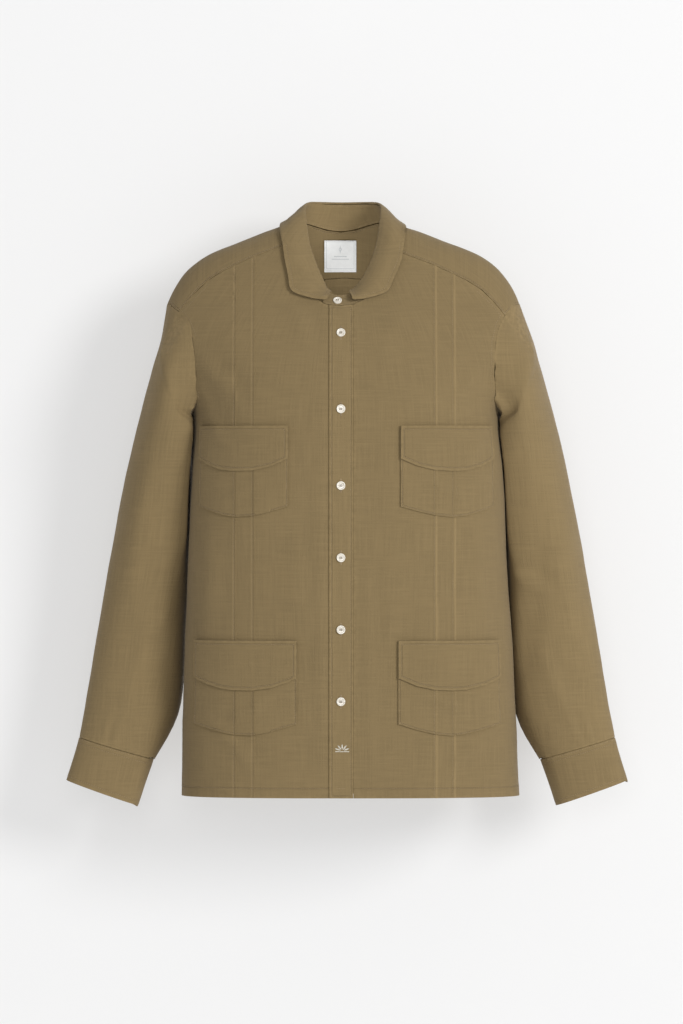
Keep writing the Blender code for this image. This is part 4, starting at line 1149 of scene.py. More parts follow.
    def map_cloth(self, at: Array, out: Array) -> None:
        """Gives the piece a flat map in metres. Args: at, places; out, outward directions, not
        used.
        """
        mesh = self.piece.data
        if self.planar:
            u, v, period = at[:, 0], at[:, 1] * 1.08, 0.0
        elif self.on_form:
            u, v, period = FORM.girth(at), at[:, 2], 0.0
        else:
            off = TubeOutward.through(at).offset(at)
            reach = float(np.median(np.hypot(*off.T)))
            turn = np.arctan2(off[:, 1], off[:, 0])
            u, v, period = turn * reach, at[:, 2] * 1.03, 2 * math.pi * reach
        corners = np.empty(len(mesh.loops), dtype=int)
        mesh.loops.foreach_get("vertex_index", corners)
        cu, cv = u[corners], v[corners]
        if period:
            starts = np.empty(len(mesh.polygons), dtype=int)
            totals = np.empty(len(mesh.polygons), dtype=int)
            mesh.polygons.foreach_get("loop_start", starts)
            mesh.polygons.foreach_get("loop_total", totals)
            first = np.repeat(cu[starts], totals)
            order = np.concatenate([np.arange(s, s + t) for s, t in zip(starts, totals)])
            base = np.empty_like(cu)
            base[order] = first
            cu = cu + period * np.round((base - cu) / period)
        while mesh.uv_layers:
            mesh.uv_layers.remove(mesh.uv_layers[0])
        layer = mesh.uv_layers.new(name="cloth")
        layer.data.foreach_set("uv", np.stack([cu, cv], axis=1).ravel().astype(np.float32))

    def dress(self) -> None:
        """Gives the piece its finish and its shading."""
        mesh = self.piece.data
        for name in ("custom_normal", "sharp_face", "sharp_edge", "crease_edge", "lift"):
            if name in mesh.attributes:
                mesh.attributes.remove(mesh.attributes[name])
        mesh.materials.clear()
        mesh.materials.append(self.finish)
        mesh.polygons.foreach_set("material_index", np.zeros(len(mesh.polygons), dtype=np.int32))
        pick(self.piece)
        bpy.ops.object.shade_smooth_by_angle(angle=CLOTH_ANGLE)

    def outer_tree(self) -> BVHTree:
        """Returns: a search tree over the outer skin."""
        mesh = self.piece.data
        faces = [tuple(p.vertices) for p in mesh.polygons if self.labels[p.index] == 0]
        return BVHTree.FromPolygons([v.co for v in mesh.vertices], faces)

    def outline(self) -> list[Edge]:
        """The outer skin's edge. Returns: lines of (point, the way out of the cloth there)."""
        work = bmesh.new()
        work.from_mesh(self.piece.data)
        work.faces.ensure_lookup_table()
        ends: dict[int, list[tuple[int, Vector]]] = {}
        for edge in work.edges:
            marks = {int(self.labels[f.index]): f for f in edge.link_faces}
            if Skin.OUTER.value in marks and Skin.RIM.value in marks:
                away = marks[Skin.RIM.value].normal.copy()
                a, b = (v.index for v in edge.verts)
                ends.setdefault(a, []).append((b, away))
                ends.setdefault(b, []).append((a, away))
        work.verts.ensure_lookup_table()
        lines, used = [], set()
        starts = sorted(ends, key=lambda v: len(ends[v]) == 2)
        for start in starts:
            if start in used:
                continue
            line, here = [], start
            while here is not None:
                used.add(here)
                away = sum((n for _, n in ends[here]), Vector()).normalized()
                line.append((work.verts[here].co.copy(), away))
                here = next((b for b, _ in ends[here] if b not in used), None)
            if len(line) > 3 and (line[0][0] - line[-1][0]).length < 2 * FINE:
                line.append(line[0])
            lines.append(line)
        work.free()
        return [line for line in lines if len(line) > 3]


# ---------------------------------------------------------------- sewing


@dataclass(frozen=True)
class Stitch:
    """One short stitch of thread, modelled along +X."""

    length: float = 0.0021
    width: float = 0.00062
    height: float = 0.00042

    def model(self) -> tuple[Array, list[tuple[int, ...]]]:
        """Models the stitch by hand once. Returns: its points and faces."""
        deselect_all()
        bpy.ops.mesh.primitive_uv_sphere_add(segments=6, ring_count=4, radius=0.5)
        stitch = bpy.context.object
        bpy.ops.object.mode_set(mode="EDIT")
        bpy.ops.mesh.select_all(action="SELECT")
        bpy.ops.transform.rotate(
            value=math.pi / 2, orient_axis="Y", center_override=(0.0, 0.0, 0.0)
        )
        bpy.ops.transform.resize(value=(self.length, self.width, self.height))
        bpy.ops.object.mode_set(mode="OBJECT")
        points = np.array([v.co for v in stitch.data.vertices])
        faces = [tuple(p.vertices) for p in stitch.data.polygons]
        bpy.data.objects.remove(stitch)
        return points, faces


@dataclass
class Seam:
    """Stitches gathered into one piece."""

    name: str
    finish: bpy.types.Material
    slot: str = "linen"
    places: list[tuple[Vector, Vector, Vector, float]] = field(default_factory=list)

    def add(self, place: Vector, along: Vector, up: Vector, stretch: float = 1.0) -> None:
        """Puts a stitch down. Args: place, along, up, and how much longer it is."""
        self.places.append((place, along, up, stretch))

    def sew(
        self,
        line: list[Vector],
        tree: BVHTree,
        gap: float = 0.0031,
        keep: Callable[[Vector], bool] = lambda place: True,
    ) -> None:
        """Sews along a line laid on a piece.

        Args:
            line: the places that the seam passes.
            tree: the outer skin that it lies on.
            gap: from one stitch to the next.
            keep: whether a place gets a stitch.
        """
        at = np.array(line)
        steps = np.linalg.norm(np.diff(at, axis=0), axis=1)
        run = np.concatenate([[0], np.cumsum(steps)])
        if run[-1] < gap:
            return
        marks = np.arange(gap / 2, run[-1], gap)
        lay = np.stack([np.interp(marks, run, at[:, k]) for k in range(3)], axis=1)
        for k, spot in enumerate(lay):
            ahead = Vector(lay[min(k + 1, len(lay) - 1)] - lay[max(k - 1, 0)])
            found, normal, _, _ = tree.find_nearest(Vector(spot), 0.012)
            if found is None or ahead.length < 1e-6 or not keep(found):
                continue
            self.add(found + normal * THREAD_RISE, flattened(ahead, normal), normal)

    def build(self, stitch: Stitch = Stitch()) -> bpy.types.Object:
        """Makes the piece. Args: stitch, the one that is repeated. Returns: its object."""
        points, faces = stitch.model()
        verts, polys = [], []
        for place, along, up, stretch in self.places:
            side = up.cross(along).normalized()
            turn = np.array((along * stretch, side, up)).reshape(3, 3)
            base = len(verts) * len(points)
            verts.append(points @ turn + np.array(place))
            polys += [tuple(i + base for i in f) for f in faces]
        mesh = bpy.data.meshes.new(self.name)
        mesh.from_pydata(np.concatenate(verts).tolist(), [], polys)
        mesh.materials.append(self.finish)
        mesh.shade_smooth()
        piece = new_piece(self.name, mesh)
        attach(piece, ROOT)
        log.info("%s: %d stitches", self.name, len(self.places))
        return piece


def picked_runs(lines: list[Edge], where: Rule) -> list[Edge]:
    """The stretches of some edges that a rule picks.

    Args:
        lines: the edges, as places and ways out of the cloth.
        where: the rule, by place and way out.
    Returns:
        Each unbroken stretch.
    """
    runs: list[Edge] = []
    for line in lines:
        run: Edge = []
        for place, away in line + [(None, None)]:
            if place is not None and where(place, away):
                run.append((place, away))
                continue
            runs.append(run)
            run = []
    return runs


def edge_stitches(
    seam: Seam,
    cloth: ClothPiece,
    inset: float,
    where: Rule = lambda place, away: True,
    gap: float = 0.0031,
) -> None:
    """Sews round a piece, set in from its edge.

    Args:
        seam: what the stitches go to.
        cloth: the piece.
        inset: how far in from the edge.
        where: picks the parts of the edge, by the place and the way out of the cloth there.
        gap: from one stitch to the next.
    """
    tree = cloth.outer_tree()
    lines = cloth.outline()
    rim = KDTree(sum(len(line) for line in lines))
    for k, (place, _) in enumerate(p for line in lines for p in line):
        rim.insert(place, k)
    rim.balance()

    def clear(place: Vector) -> bool:
        """Whether a place is far enough in from every edge. Args: place. Returns: so or not."""
        return rim.find(place)[2] > 0.80 * inset

    for run in picked_runs(lines, where):
        if len(run) > 2:
            seam.sew([place - away * inset for place, away in run], tree, gap, clear)


@dataclass
class FelledSeam:
    """The allowance of a seam, folded flat and lying inside the two pieces that meet there."""

    name: str
    cloth: ClothPiece
    where: Rule
    finish: bpy.types.Material
    half: float = 0.0060
    depth: float = 0.0024
    wall: float = 0.0006

    def build(self) -> None:
        """Makes each run of the seam."""
        runs = [r for r in picked_runs(self.cloth.outline(), self.where) if len(r) > 3]
        for number, run in enumerate(runs, 1):
            self.strip(run, f"{self.name}_{number}")

    def strip(self, run: Edge, name: str) -> None:
        """Makes one strip. Args: run, the seam's places and ways out of the cloth; name."""
        at = np.array([p for p, _ in run])
        away = np.array([n for _, n in run])
        out = self.cloth.direction(at)
        rows = [at + away * self.half * t for t in (-1.0, -0.35, 0.35, 1.0)]
        if self.cloth.on_form:
            drop = FORM.lift(at)
            rows = [FORM.onto(r, drop - self.depth) for r in rows]
        else:
            rows = [r - out * self.depth for r in rows]
        points = np.stack(rows, axis=1).reshape(-1, 3)
        wide = len(rows)
        faces = [
            (i * wide + j, i * wide + j + 1, (i + 1) * wide + j + 1, (i + 1) * wide + j)
            for i in range(len(run) - 1)
            for j in range(wide - 1)
        ]
        mesh = bpy.data.meshes.new(name)
        mesh.from_pydata(points.tolist(), [], faces)
        mesh.materials.append(self.finish)
        piece = new_piece(name, mesh)
        pick(piece)
        wall = piece.modifiers.new("wall", "SOLIDIFY")
        wall.thickness, wall.offset = self.wall, 0.0
        bpy.ops.object.modifier_apply(modifier=wall.name)
        layer = piece.data.uv_layers.new(name="cloth")
        for loop in piece.data.loops:
            place = piece.data.vertices[loop.vertex_index].co
            layer.data[loop.index].uv = (place.x + place.y * 0.7, place.z)
        far = piece.data.attributes.new("apart", "FLOAT", "POINT")
        far.data.foreach_set("value", np.full(len(piece.data.vertices), 0.02, np.float32))
        bpy.ops.object.shade_smooth_by_angle(angle=math.radians(50))
        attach(piece, ROOT)


# ---------------------------------------------------------------- the shirt


@dataclass
class Body:
    """The fronts with their placket, the back and the yoke."""

    finish: bpy.types.Material
    band_finish: bpy.types.Material
    yoke_finish: bpy.types.Material
    seam_inset: float = 0.0024
    hem_inset: float = 0.0128
    armhole_inset: float = 0.0060
    tucks: tuple[float, ...] = TUCKS
    tuck_half: float = 0.0021
    cloths: dict[str, ClothPiece] = field(default_factory=dict)

    def build(self) -> None:
        """Makes each panel."""
        rows = (
            ("front_right", (0.280, 0.740), 0.185, ("cloth_yoke",), self.finish),
            ("front_left", (0.270, 0.740), 0.176, ("cloth_yoke",), self.finish),
            ("back", (0.575, 0.690), 0.346, ("cloth_yoke",), self.finish),
            ("placket", (0.032, 0.665), 0.0210, ("cloth_front_right",), self.band_finish),
        )
        for node, flat, area, rests_on, finish in rows:
            self.cloths[node] = ClothPiece(node, finish, flat, area, Hold.HUNG, rests_on)
        self.cloths["yoke"] = ClothPiece(
            "yoke", self.yoke_finish, (0.500, 0.210), 0.077, Hold.LAID, (), planar=True
        )
        for cloth in self.cloths.values():
            cloth.build()

    def sew(self, seam: Seam) -> None:
        """Sews hems, seams and the placket. Args: seam."""
        for node in ("front_right", "front_left", "back", "placket"):
            edge_stitches(
                seam, self.cloths[node], self.hem_inset, lambda p, n: n.z < -0.7 and p.z < -0.74
            )
        for node in ("front_right", "front_left", "back"):
            edge_stitches(
                seam,
                self.cloths[node],
                self.armhole_inset,
                lambda p, n: p.z > -0.246 and abs(n.x) > 0.45 and abs(p.x) > 0.17,
            )
        edge_stitches(
            seam, self.cloths["yoke"], self.seam_inset, lambda p, n: n.z < -0.35 or abs(p.x) < 0.08
        )
        edge_stitches(seam, self.cloths["placket"], 0.0030, lambda p, n: abs(n.x) > 0.7)

    def fell(self) -> None:
        """Makes the seam allowances inside the yoke's seams and beside the placket."""

        def beside_placket(place: Vector, away: Vector) -> bool:
            """Picks the front's inner edge. Args: place, away. Returns: so or not."""
            return place.z > -0.748 and away.x < -0.9 and abs(place.x) < 0.05

        rules = (
            ("yoke", "yoke", 0.0024, lambda p, n: n.z < -0.25 and abs(p.x) < 0.225),
            ("placket", "front_left", 0.0030, beside_placket),
        )
        for name, node, depth, where in rules:
            cloth = self.cloths[node]
            FelledSeam(f"felled_{name}", cloth, where, self.finish, depth=depth).build()

    def sew_tucks(self, seam: Seam, layers: list[tuple[ClothPiece, bool]]) -> None:
        """Sews beside each tuck, wherever it shows.

        Args:
            seam: what the stitches go to.
            layers: the pieces that lie on the fronts, and whether they carry the tucks.
        """
        trees = [(cloth.outer_tree(), carries) for cloth, carries in layers]
        for side in (-1, 1):
            for tuck in self.tucks:
                x = side * tuck - self.tuck_half * 0.55
                for z in np.arange(-0.7480, -0.0400, 0.0031):
                    hits = []
                    for tree, carries in trees:
                        hit = from_front(tree, x, z)
                        if hit[0] is not None:
                            hits.append((hit[0].y, hit[0], hit[1], carries))
                    if hits and min(hits, key=lambda h: h[0])[3]:
                        _, place, normal, _ = min(hits, key=lambda h: h[0])
                        along = flattened(Vector((0, 0, 1)), normal)
                        seam.add(place + normal * THREAD_RISE, along, normal)


@dataclass
class Pockets:
    """Four patch pockets, each under a pointed flap."""

    finish: bpy.types.Material
    flap_finish: bpy.types.Material
    chest: tuple[float, float] = (0.137, 0.120)
    hip: tuple[float, float] = (0.148, 0.125)
    chest_flap: tuple[float, float] = (0.137, 0.060)
    hip_flap: tuple[float, float] = (0.148, 0.066)
    cloths: dict[str, ClothPiece] = field(default_factory=dict)

    def build(self) -> None:
        """Makes each pocket and flap."""
        for side in ("right", "left"):
            for level, flat, area, flap, flap_area in (
                ("chest", self.chest, 0.0156, self.chest_flap, 0.0076),
                ("hip", self.hip, 0.0176, self.hip_flap, 0.0090),
            ):
                pocket = f"pocket_{level}_{side}"
                self.cloths[pocket] = ClothPiece(
                    pocket, self.finish, flat, area, Hold.LAID, (f"cloth_front_{side}",)
                )
                name = f"flap_{level}_{side}"
                self.cloths[name] = ClothPiece(
                    name, self.flap_finish, flap, flap_area, Hold.HUNG, (f"cloth_front_{side}",)
                )
        for cloth in self.cloths.values():
            cloth.build()

    def sew(self, seam: Seam) -> None:
        """Sews round each pocket and flap. Args: seam."""
        for node, cloth in self.cloths.items():
            if node.startswith("pocket"):
                edge_stitches(seam, cloth, 0.0020, lambda p, n: n.z < 0.6)
            else:
                edge_stitches(seam, cloth, 0.0042, lambda p, n: n.z < 0.6)
                edge_stitches(seam, cloth, 0.0050, lambda p, n: n.z > 0.6)


@dataclass
class Sleeves:
    """Both sleeves with their cuffs and vent strips."""

    finish: bpy.types.Material
    cuff_finish: bpy.types.Material
    cloths: dict[str, ClothPiece] = field(default_factory=dict)

    def build(self) -> None:
        """Makes each sleeve, cuff and strip."""
        for side in ("right", "left"):
            sleeve = ClothPiece(
                f"sleeve_{side}",
                self.finish,
                (0.460, 0.570),
                0.188,
                Hold.HUNG,
                ("cloth_yoke",),
                on_form=False,
            )
            sleeve.build()
            cuff = ClothPiece(
                f"cuff_{side}",
                self.cuff_finish,
                (0.246, 0.063),
                0.0152,
                Hold.HUNG,
                (f"cloth_sleeve_{side}",),
                on_form=False,
                folds=0.3,
                pucker=0.0003,
                settle=(2, 0.6),
            )
            cuff.build()
            vent = ClothPiece(
                f"sleeve_vent_{side}",
                self.finish,
                (0.0140, 0.088),
                0.00122,
                Hold.LAID,
                (f"cloth_sleeve_{side}",),
                on_form=False,
                outward=sleeve.outward,
                rounds=1,
            )
            vent.build()
            self.cloths.update({c.node: c for c in (sleeve, cuff, vent)})
            FelledSeam(
                f"felled_cuff_{side}", cuff, lambda p, n: n.z > 0.3, self.cuff_finish, half=0.0052
            ).build()

    def sew(self, seam: Seam) -> None:
        """Sews the cuffs and the strips. Args: seam."""
        for node, cloth in self.cloths.items():
            if node.startswith("cuff"):
                edge_stitches(seam, cloth, 0.0018, lambda p, n: n.z > 0.3)
                edge_stitches(seam, cloth, 0.0060, lambda p, n: n.z < -0.3)
                edge_stitches(seam, cloth, 0.0065, lambda p, n: n.z > 0.3)
            elif node.startswith("sleeve_vent"):
                edge_stitches(seam, cloth, 0.0018)


@dataclass
class Collar:
    """The band round the neck and the leaf that is turned down over it."""

    finish: bpy.types.Material
    cloths: dict[str, ClothPiece] = field(default_factory=dict)

    def build(self) -> None:
        """Makes the band and the leaf."""
        stand = ClothPiece(
            "collar_stand",
            self.finish,
            (0.430, 0.038),
            0.0120,
            Hold.HUNG,
            ("cloth_yoke",),
            on_form=False,
            outward=neck_outward,
            folds=0.25,
            settle=(2, 0.7),
        )
        leaf = ClothPiece(
            "collar_leaf",
            self.finish,
            (0.450, 0.066),
            0.0225,
            Hold.FOLDED,
            ("cloth_collar_stand",),
            on_form=False,
            outward=neck_outward,
            folds=0.4,
            settle=(2, 0.6),
        )
        self.cloths = {"collar_stand": stand, "collar_leaf": leaf}
        for cloth in self.cloths.values():
            cloth.build()

    def sew(self, seam: Seam) -> None:
        """Sews round the leaf and the band. Args: seam."""
        edge_stitches(seam, self.cloths["collar_leaf"], 0.0050, lambda p, n: n.z < 0.4)
        edge_stitches(seam, self.cloths["collar_stand"], 0.0020)


@dataclass
class ShellButton:
    """A four-hole shell button with a turned rim, sewn on with thread."""

    finish: bpy.types.Material
    radius: float = 0.0057
    thickness: float = 0.0024
    rim: float = 0.0012
    dish: float = 0.0009
    hole: float = 0.00062
    spread: float = 0.00115

    def model(self) -> bpy.types.Mesh:
        """Models the button lying flat at the origin. Returns: its mesh."""
        deselect_all()
        bpy.ops.mesh.primitive_cylinder_add(
            vertices=36,
            radius=self.radius,
            depth=self.thickness,
            location=(0, 0, self.thickness / 2),
        )
        button = bpy.context.object
        bpy.ops.object.mode_set(mode="EDIT")
        bpy.ops.mesh.select_all(action="DESELECT")
        work = bmesh.from_edit_mesh(button.data)
        for face in work.faces:
            face.select = face.normal.z > 0.9
        bmesh.update_edit_mesh(button.data)
        bpy.ops.mesh.inset(thickness=self.rim)
        bpy.ops.mesh.inset(thickness=self.rim * 0.55)
        bpy.ops.transform.translate(value=(0, 0, -self.dish))
        bpy.ops.mesh.select_all(action="DESELECT")
        work = bmesh.from_edit_mesh(button.data)
        for edge in work.edges:
            turns = len(edge.link_faces) == 2 and edge.calc_face_angle() > 0.5
            edge.select = turns and max(v.co.xy.length for v in edge.verts) > self.radius * 0.5
        bmesh.update_edit_mesh(button.data)
        bpy.ops.mesh.bevel(offset=0.00032, segments=3, affect="EDGES")
        bpy.ops.object.mode_set(mode="OBJECT")
        self.drill(button)
        mesh = button.data.copy()
        bpy.data.objects.remove(button)
        mesh.materials.clear()
        mesh.materials.append(self.finish)
        return mesh

    def drill(self, button: bpy.types.Object) -> None:
        """Cuts the four holes. Args: button."""
        for sx, sy in ((-1, -1), (-1, 1), (1, -1), (1, 1)):
            deselect_all()
            bpy.ops.mesh.primitive_cylinder_add(
                vertices=12,
                radius=self.hole,
                depth=self.thickness * 3,
                location=(sx * self.spread, sy * self.spread, 0),
            )
            cutter = bpy.context.object
            pick(button)
            cut = button.modifiers.new("hole", "BOOLEAN")
            cut.operation, cut.solver, cut.object = "DIFFERENCE", "EXACT", cutter
            bpy.ops.object.modifier_apply(modifier=cut.name)
            bpy.data.objects.remove(cutter)

    @staticmethod
    def place_of(node: str) -> Matrix:
        """Where the frame's button lies. Args: node. Returns: its place and turn."""
        at = np.array([v.co for v in frame["nodes"][node].data.vertices])
        middle = (at.min(axis=0) + at.max(axis=0)) / 2
        axis = Vector(np.linalg.svd(at - at.mean(axis=0))[2][2])
        facing = -1.0 if middle[1] < 0 else 1.0
        axis = axis if axis.y * facing > 0 else -axis
        side = Vector((0, 0, 1)).cross(axis).normalized()
        up = axis.cross(side)
        turn = Matrix((side, up, axis)).transposed().to_4x4()
        low = min((Vector(p) - Vector(middle)).dot(axis) for p in at)
        return Matrix.Translation(Vector(middle) + axis * low) @ turn

    def build(self, nodes: list[str], threads: Seam) -> None:
        """Places a button for each node.

        Args:
            nodes: the frame's buttons.
            threads: what the sewing through the holes goes to.
        """
        model = self.model()
        for node in nodes:
            place = self.place_of(node)
            axis = Vector(place.col[2][:3])
            mesh = model.copy()
            mesh.transform(place)
            piece = new_piece(f"shell_{node}", mesh)
            pick(piece)
            bpy.ops.object.shade_smooth_by_angle(angle=math.radians(35))
            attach(piece, ROOT)
            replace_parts(piece, node)
            side, up = Vector(place.col[0][:3]), Vector(place.col[1][:3])
            top = Vector(place.col[3][:3]) + axis * (self.thickness - self.dish + 0.00008)
            for sx in (-1, 1):
                for nudge in (-0.3, 0.3):
                    across = side * (sx * self.spread + nudge * self.hole)
                    threads.add(top + across, up, axis, 1.65)
            log.info("%s placed", piece.name)


@dataclass
class Buttonholes:
    """Upright worked buttonholes down the placket."""

    levels: tuple[float, ...] = (-0.1423, -0.2427, -0.3431, -0.4376, -0.5320, -0.6264)
    half_length: float = 0.0078
    reach: float = 0.0011
    gap: float = 0.00050

    def sew(self, seam: Seam, placket: ClothPiece) -> None:
        """Works each buttonhole. Args: seam, placket."""
        tree = placket.outer_tree()
        for level in self.levels:
            for z in np.arange(-self.half_length, self.half_length, self.gap):
                for sx in (-1, 1):
                    x = NECK_X + sx * (self.reach * 0.5 + 0.00018)
                    self.lay(seam, tree, x, level + z, 0.55)
            for end in (-1, 1):
                for k in range(3):
                    z = level + end * (self.half_length + k * self.gap)
                    self.lay(seam, tree, NECK_X, z, 1.15)

    @staticmethod
    def lay(seam: Seam, tree: BVHTree, x: float, z: float, stretch: float) -> None:
        """Lays a stitch across. Args: seam, tree, x, z, stretch."""
        hit = from_front(tree, x, z)
        if hit[0] is not None:
            seam.add(hit[0] + hit[1] * 0.00010, Vector((1, 0, 0)), hit[1], stretch)


@dataclass
class Sprig:
    """A small generic sprig, embroidered in satin stitch: five leaves fanned on a bar."""

    x: float = -0.0025
    z: float = -0.6915
    wide: float = 0.0096
    high: float = 0.0084
    leaves: int = 5
    steps: int = 12

    def sew(self, seam: Seam, placket: ClothPiece) -> None:
        """Works the sprig. Args: seam, placket."""
        tree = placket.outer_tree()
        for k in range(self.leaves):
            turn = math.radians(20 + 140 * k / (self.leaves - 1))
            way = Vector((math.cos(turn) * self.wide, 0, math.sin(turn) * self.high))
            cross = Vector((-way.z, 0, way.x)).normalized()
            for step in range(self.steps):
                t = 0.26 + 0.74 * (step + 0.5) / self.steps
                full = math.sin(math.pi * (t - 0.2) / 0.82) ** 0.8
                spot = Vector((self.x, 0, self.z + 0.0006)) + way * t
                slant = (cross + way.normalized() * 0.35).normalized()
                self.lay(seam, tree, spot, slant, 0.25 + 0.95 * full)
        for step in range(26):
            x = self.x + self.wide * (2 * (step + 0.5) / 26 - 1) * 0.95
            self.lay(seam, tree, Vector((x, 0, self.z - 0.0005)), Vector((0.3, 0, 1)), 0.75)

    @staticmethod
    def lay(seam: Seam, tree: BVHTree, spot: Vector, way: Vector, stretch: float) -> None:
        """Lays a satin stitch. Args: seam, tree, spot, way, stretch."""
        hit = from_front(tree, spot.x, spot.z)
        if hit[0] is not None:
            seam.add(hit[0] + hit[1] * 0.00022, flattened(way, hit[1]), hit[1], stretch)


@dataclass
class Label:
    """The woven label inside the back of the neck."""

    finish: bpy.types.Material
    flat: tuple[float, float] = (0.0440, 0.0460)
    area: float = 0.00200
    middle: tuple[float, float] = (-0.0049, -0.0332)

    def build(self) -> ClothPiece:
        """Makes the label. Returns: its cloth."""
        cloth = ClothPiece(
            "label", self.finish, self.flat, self.area, Hold.LAID, ("cloth_yoke",), slot="label"
        )
        cloth.build()
        mesh = cloth.piece.data
        corners = np.array([loop.vertex_index for loop in mesh.loops])
        at = np.array([v.co for v in mesh.vertices])[corners]
        flat = np.stack([at[:, 0] - self.middle[0], at[:, 2] - self.middle[1]], axis=1)
        mesh.uv_layers["cloth"].data.foreach_set("uv", flat.ravel().astype(np.float32))
        return cloth

    def sew(self, seam: Seam, cloth: ClothPiece) -> None:
        """Sews round the label, on the side that shows. Args: seam, cloth."""
        mesh = cloth.piece.data
        faces = [tuple(p.vertices) for p in mesh.polygons if cloth.labels[p.index] == 1]
        tree = BVHTree.FromPolygons([v.co for v in mesh.vertices], faces)
        low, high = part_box("label")
        inset = 0.0011
        for z in (low[2] + 0.0019, high[2] - 0.0017):
            line = [Vector((x, 0.0, z)) for x in np.linspace(low[0] + inset, high[0] - inset, 24)]
            self.lay(seam, tree, line, Vector((1, 0, 0)))
        for x in (low[0] + inset, high[0] - inset):
            line = [Vector((x, 0.0, z)) for z in np.linspace(low[2] + 0.002, high[2] - 0.002, 24)]
            self.lay(seam, tree, line, Vector((0, 0, 1)))

    @staticmethod
    def lay(seam: Seam, tree: BVHTree, line: list[Vector], way: Vector) -> None:
        """Lays stitches on the side that shows. Args: seam, tree, line, way."""
        for spot in line:
            hit = tree.ray_cast(spot, Vector((0, 1, 0)), 0.3)
            if hit[0] is not None:
                normal = hit[1] if hit[1].y < 0 else -hit[1]
                seam.add(hit[0] + normal * 0.00010, flattened(way, normal), normal, 0.55)


# ---------------------------------------------------------------- the studio


@dataclass
class Studio:
    """A pale ground and backdrop, soft light from the upper right, and the camera."""

    paper: bpy.types.Material
    ground: float = -1.100
    wall: float = 0.160
    distance: float = 8.0
    middle: tuple[float, float] = (-0.0033, -0.3777)
    tall: float = 1.362

    def build(self) -> None:
        """Makes the stage, the lights and the camera."""
        self.add_sheet("pale_backdrop", (0, self.wall, 1.4), (12.0, 5.0), math.pi / 2)
        self.add_sheet("pale_floor", (0, -3.0, self.ground), (14.0, 14.0), 0.0)
        self.add_light("key", (4.2, -5.3, 1.6), (0.0, 0.0, -0.38), 2.4, 312.0)
        self.add_light("front", (-0.3, -7.0, 0.3), (0.0, 0.0, -0.38), 2.6, 94.0)
        self.add_light("neck", (0.0, -0.020, -0.112), (0.0, 0.08, -0.036), 0.03, 0.090)
        self.add_light("back", (0.7, 3.4, -0.1), (0.0, 0.0, -0.4), 2.2, 62.0)
        world = bpy.data.worlds.new("studio")
        world.use_nodes = True
        world.node_tree.nodes["Background"].inputs["Color"].default_value = (1, 1, 1, 1)
        world.node_tree.nodes["Background"].inputs["Strength"].default_value = 0.42
        bpy.context.scene.world = world
        self.add_camera()
        bpy.context.scene.view_settings.view_transform = "Standard"

    def add_sheet(
        self, name: str, place: tuple[float, ...], size: tuple[float, float], lean: float
    ) -> None:
        """Adds a flat sheet of paper. Args: name, place, size, lean."""
        deselect_all()
        bpy.ops.mesh.primitive_grid_add(x_subdivisions=8, y_subdivisions=8, size=1.0)
        sheet = bpy.context.object
        sheet.name = name
        turn = Matrix.Rotation(lean, 4, "X")
        scale = Matrix.Diagonal((size[0], size[1], 1.0, 1.0))
        sheet.data.transform(Matrix.Translation(place) @ turn @ scale)
        sheet.data.materials.append(self.paper)

    @staticmethod
    def add_light(
        name: str, place: tuple[float, ...], target: tuple[float, ...], size: float, power: float
    ) -> None:
        """Adds a soft light. Args: name, place, target, size, power."""
        lamp = bpy.data.lights.new(name, "AREA")
        lamp.shape, lamp.size, lamp.energy = "DISK", size, power
        light = new_piece(name, lamp)
        light.location = place
        light.visible_camera = False
        way = Vector(target) - Vector(place)
        light.rotation_euler = way.to_track_quat("-Z", "Y").to_euler()

    def add_camera(self) -> None:
        """Adds the camera, level and straight in front."""
        lens = bpy.data.cameras.new("camera")
        lens.sensor_width = 36.0
        lens.lens = lens.sensor_width * self.distance / self.tall
        lens.clip_end = 60.0
        camera = new_piece("camera", lens)
        camera.location = (self.middle[0], -self.distance, self.middle[1])
        camera.rotation_euler = (math.pi / 2, 0.0, 0.0)
        bpy.context.scene.camera = camera


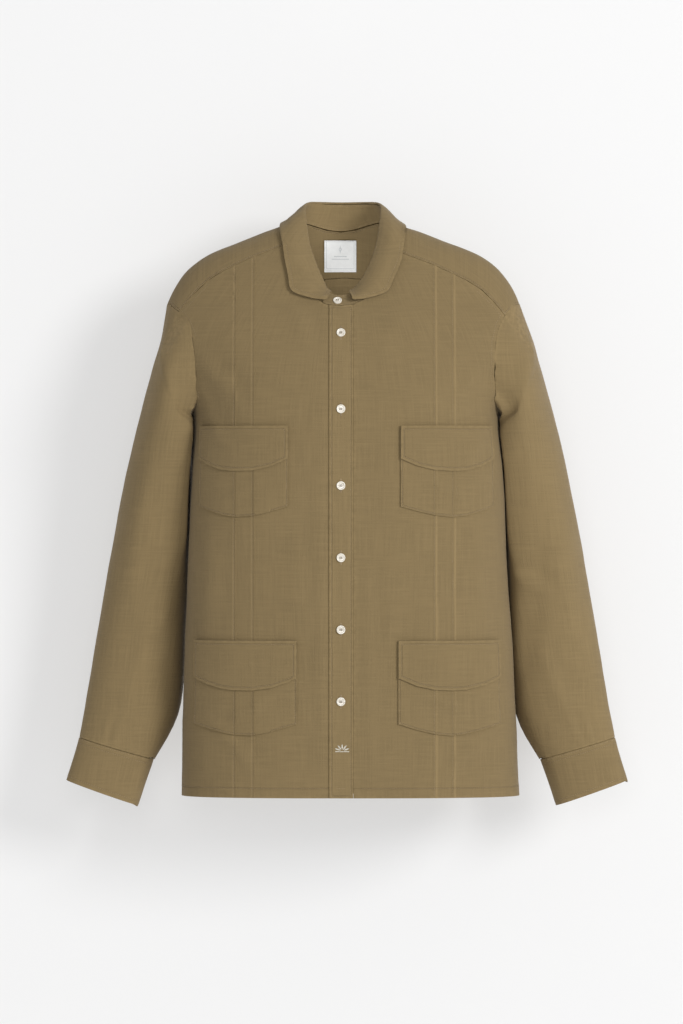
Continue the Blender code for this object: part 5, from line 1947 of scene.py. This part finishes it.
def main() -> None:
    """Makes the whole shirt and its studio."""
    body_linen = LinenFinish("linen_body", channel=0.0128).make()
    yoke_linen = LinenFinish("linen_yoke", channel=0.0024).make()
    band_linen = LinenFinish("linen_placket", tone=1.06, channel=0.0030).make()
    pocket_linen = LinenFinish("linen_pocket", channel=0.0020).make()
    flap_linen = LinenFinish("linen_flap", channel=0.0042).make()
    collar_linen = LinenFinish("linen_collar", tone=1.05, channel=0.0050, sewn=0.35).make()
    sleeve_linen = LinenFinish("linen_sleeve", tone=1.08, channel=0.0030, sewn=0.25).make()
    cuff_linen = LinenFinish("linen_cuff", tone=1.05, channel=0.0060, sewn=0.35).make()
    tonal = ThreadFinish("sewing_thread", (0.290, 0.212, 0.118, 1.0)).make()
    cream = ThreadFinish("embroidery_thread", (0.66, 0.62, 0.53, 1.0)).make()
    white = ThreadFinish("label_thread", (0.66, 0.66, 0.64, 1.0)).make()
    dark = ThreadFinish("button_thread", (0.165, 0.120, 0.070, 1.0)).make()

    body = Body(body_linen, band_linen, yoke_linen)
    pockets = Pockets(pocket_linen, flap_linen)
    sleeves = Sleeves(sleeve_linen, cuff_linen)
    collar = Collar(collar_linen)
    for part in (body, pockets, sleeves, collar):
        part.build()
    body.fell()
    label = Label(LabelFinish("woven_label").make())
    label_cloth = label.build()
    for cloth in (
        *body.cloths.values(),
        *pockets.cloths.values(),
        *sleeves.cloths.values(),
        *collar.cloths.values(),
        label_cloth,
    ):
        cloth.declare()

    sewn = {"body": body, "pockets": pockets, "sleeves": sleeves, "collar": collar}
    for name, part in sewn.items():
        seam = Seam(f"stitches_{name}", tonal)
        part.sew(seam)
        seam.build()
    tucks = Seam("stitches_tucks", tonal)
    layers = [(c, True) for n, c in body.cloths.items() if n.startswith("front")]
    layers += [(c, n.startswith("pocket")) for n, c in pockets.cloths.items()]
    body.sew_tucks(tucks, layers)
    tucks.build()
    holes = Seam("stitches_buttonholes", tonal)
    Buttonholes().sew(holes, body.cloths["placket"])
    holes.build()
    label_seam = Seam("stitches_label", white, "label")
    label.sew(label_seam, label_cloth)
    label_seam.build()
    sprig = Seam("sprig_satin_stitch", cream, "thread")
    Sprig().sew(sprig, body.cloths["placket"])
    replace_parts(sprig.build(), "sprig_embroidery")

    threads = Seam("button_thread", dark, "thread")
    nodes = [f"button_{k}" for k in range(1, 7)]
    nodes += ["button_collar", "button_cuff_left", "button_cuff_right"]
    ShellButton(ShellFinish("pearl_shell").make()).build(nodes, threads)
    threads.build()

    Studio(PaperFinish("pale_paper").make()).build()


if __name__ == "__main__":
    logging.basicConfig(level=logging.INFO, format="%(message)s")
    main()
    bpy.context.view_layer.update()
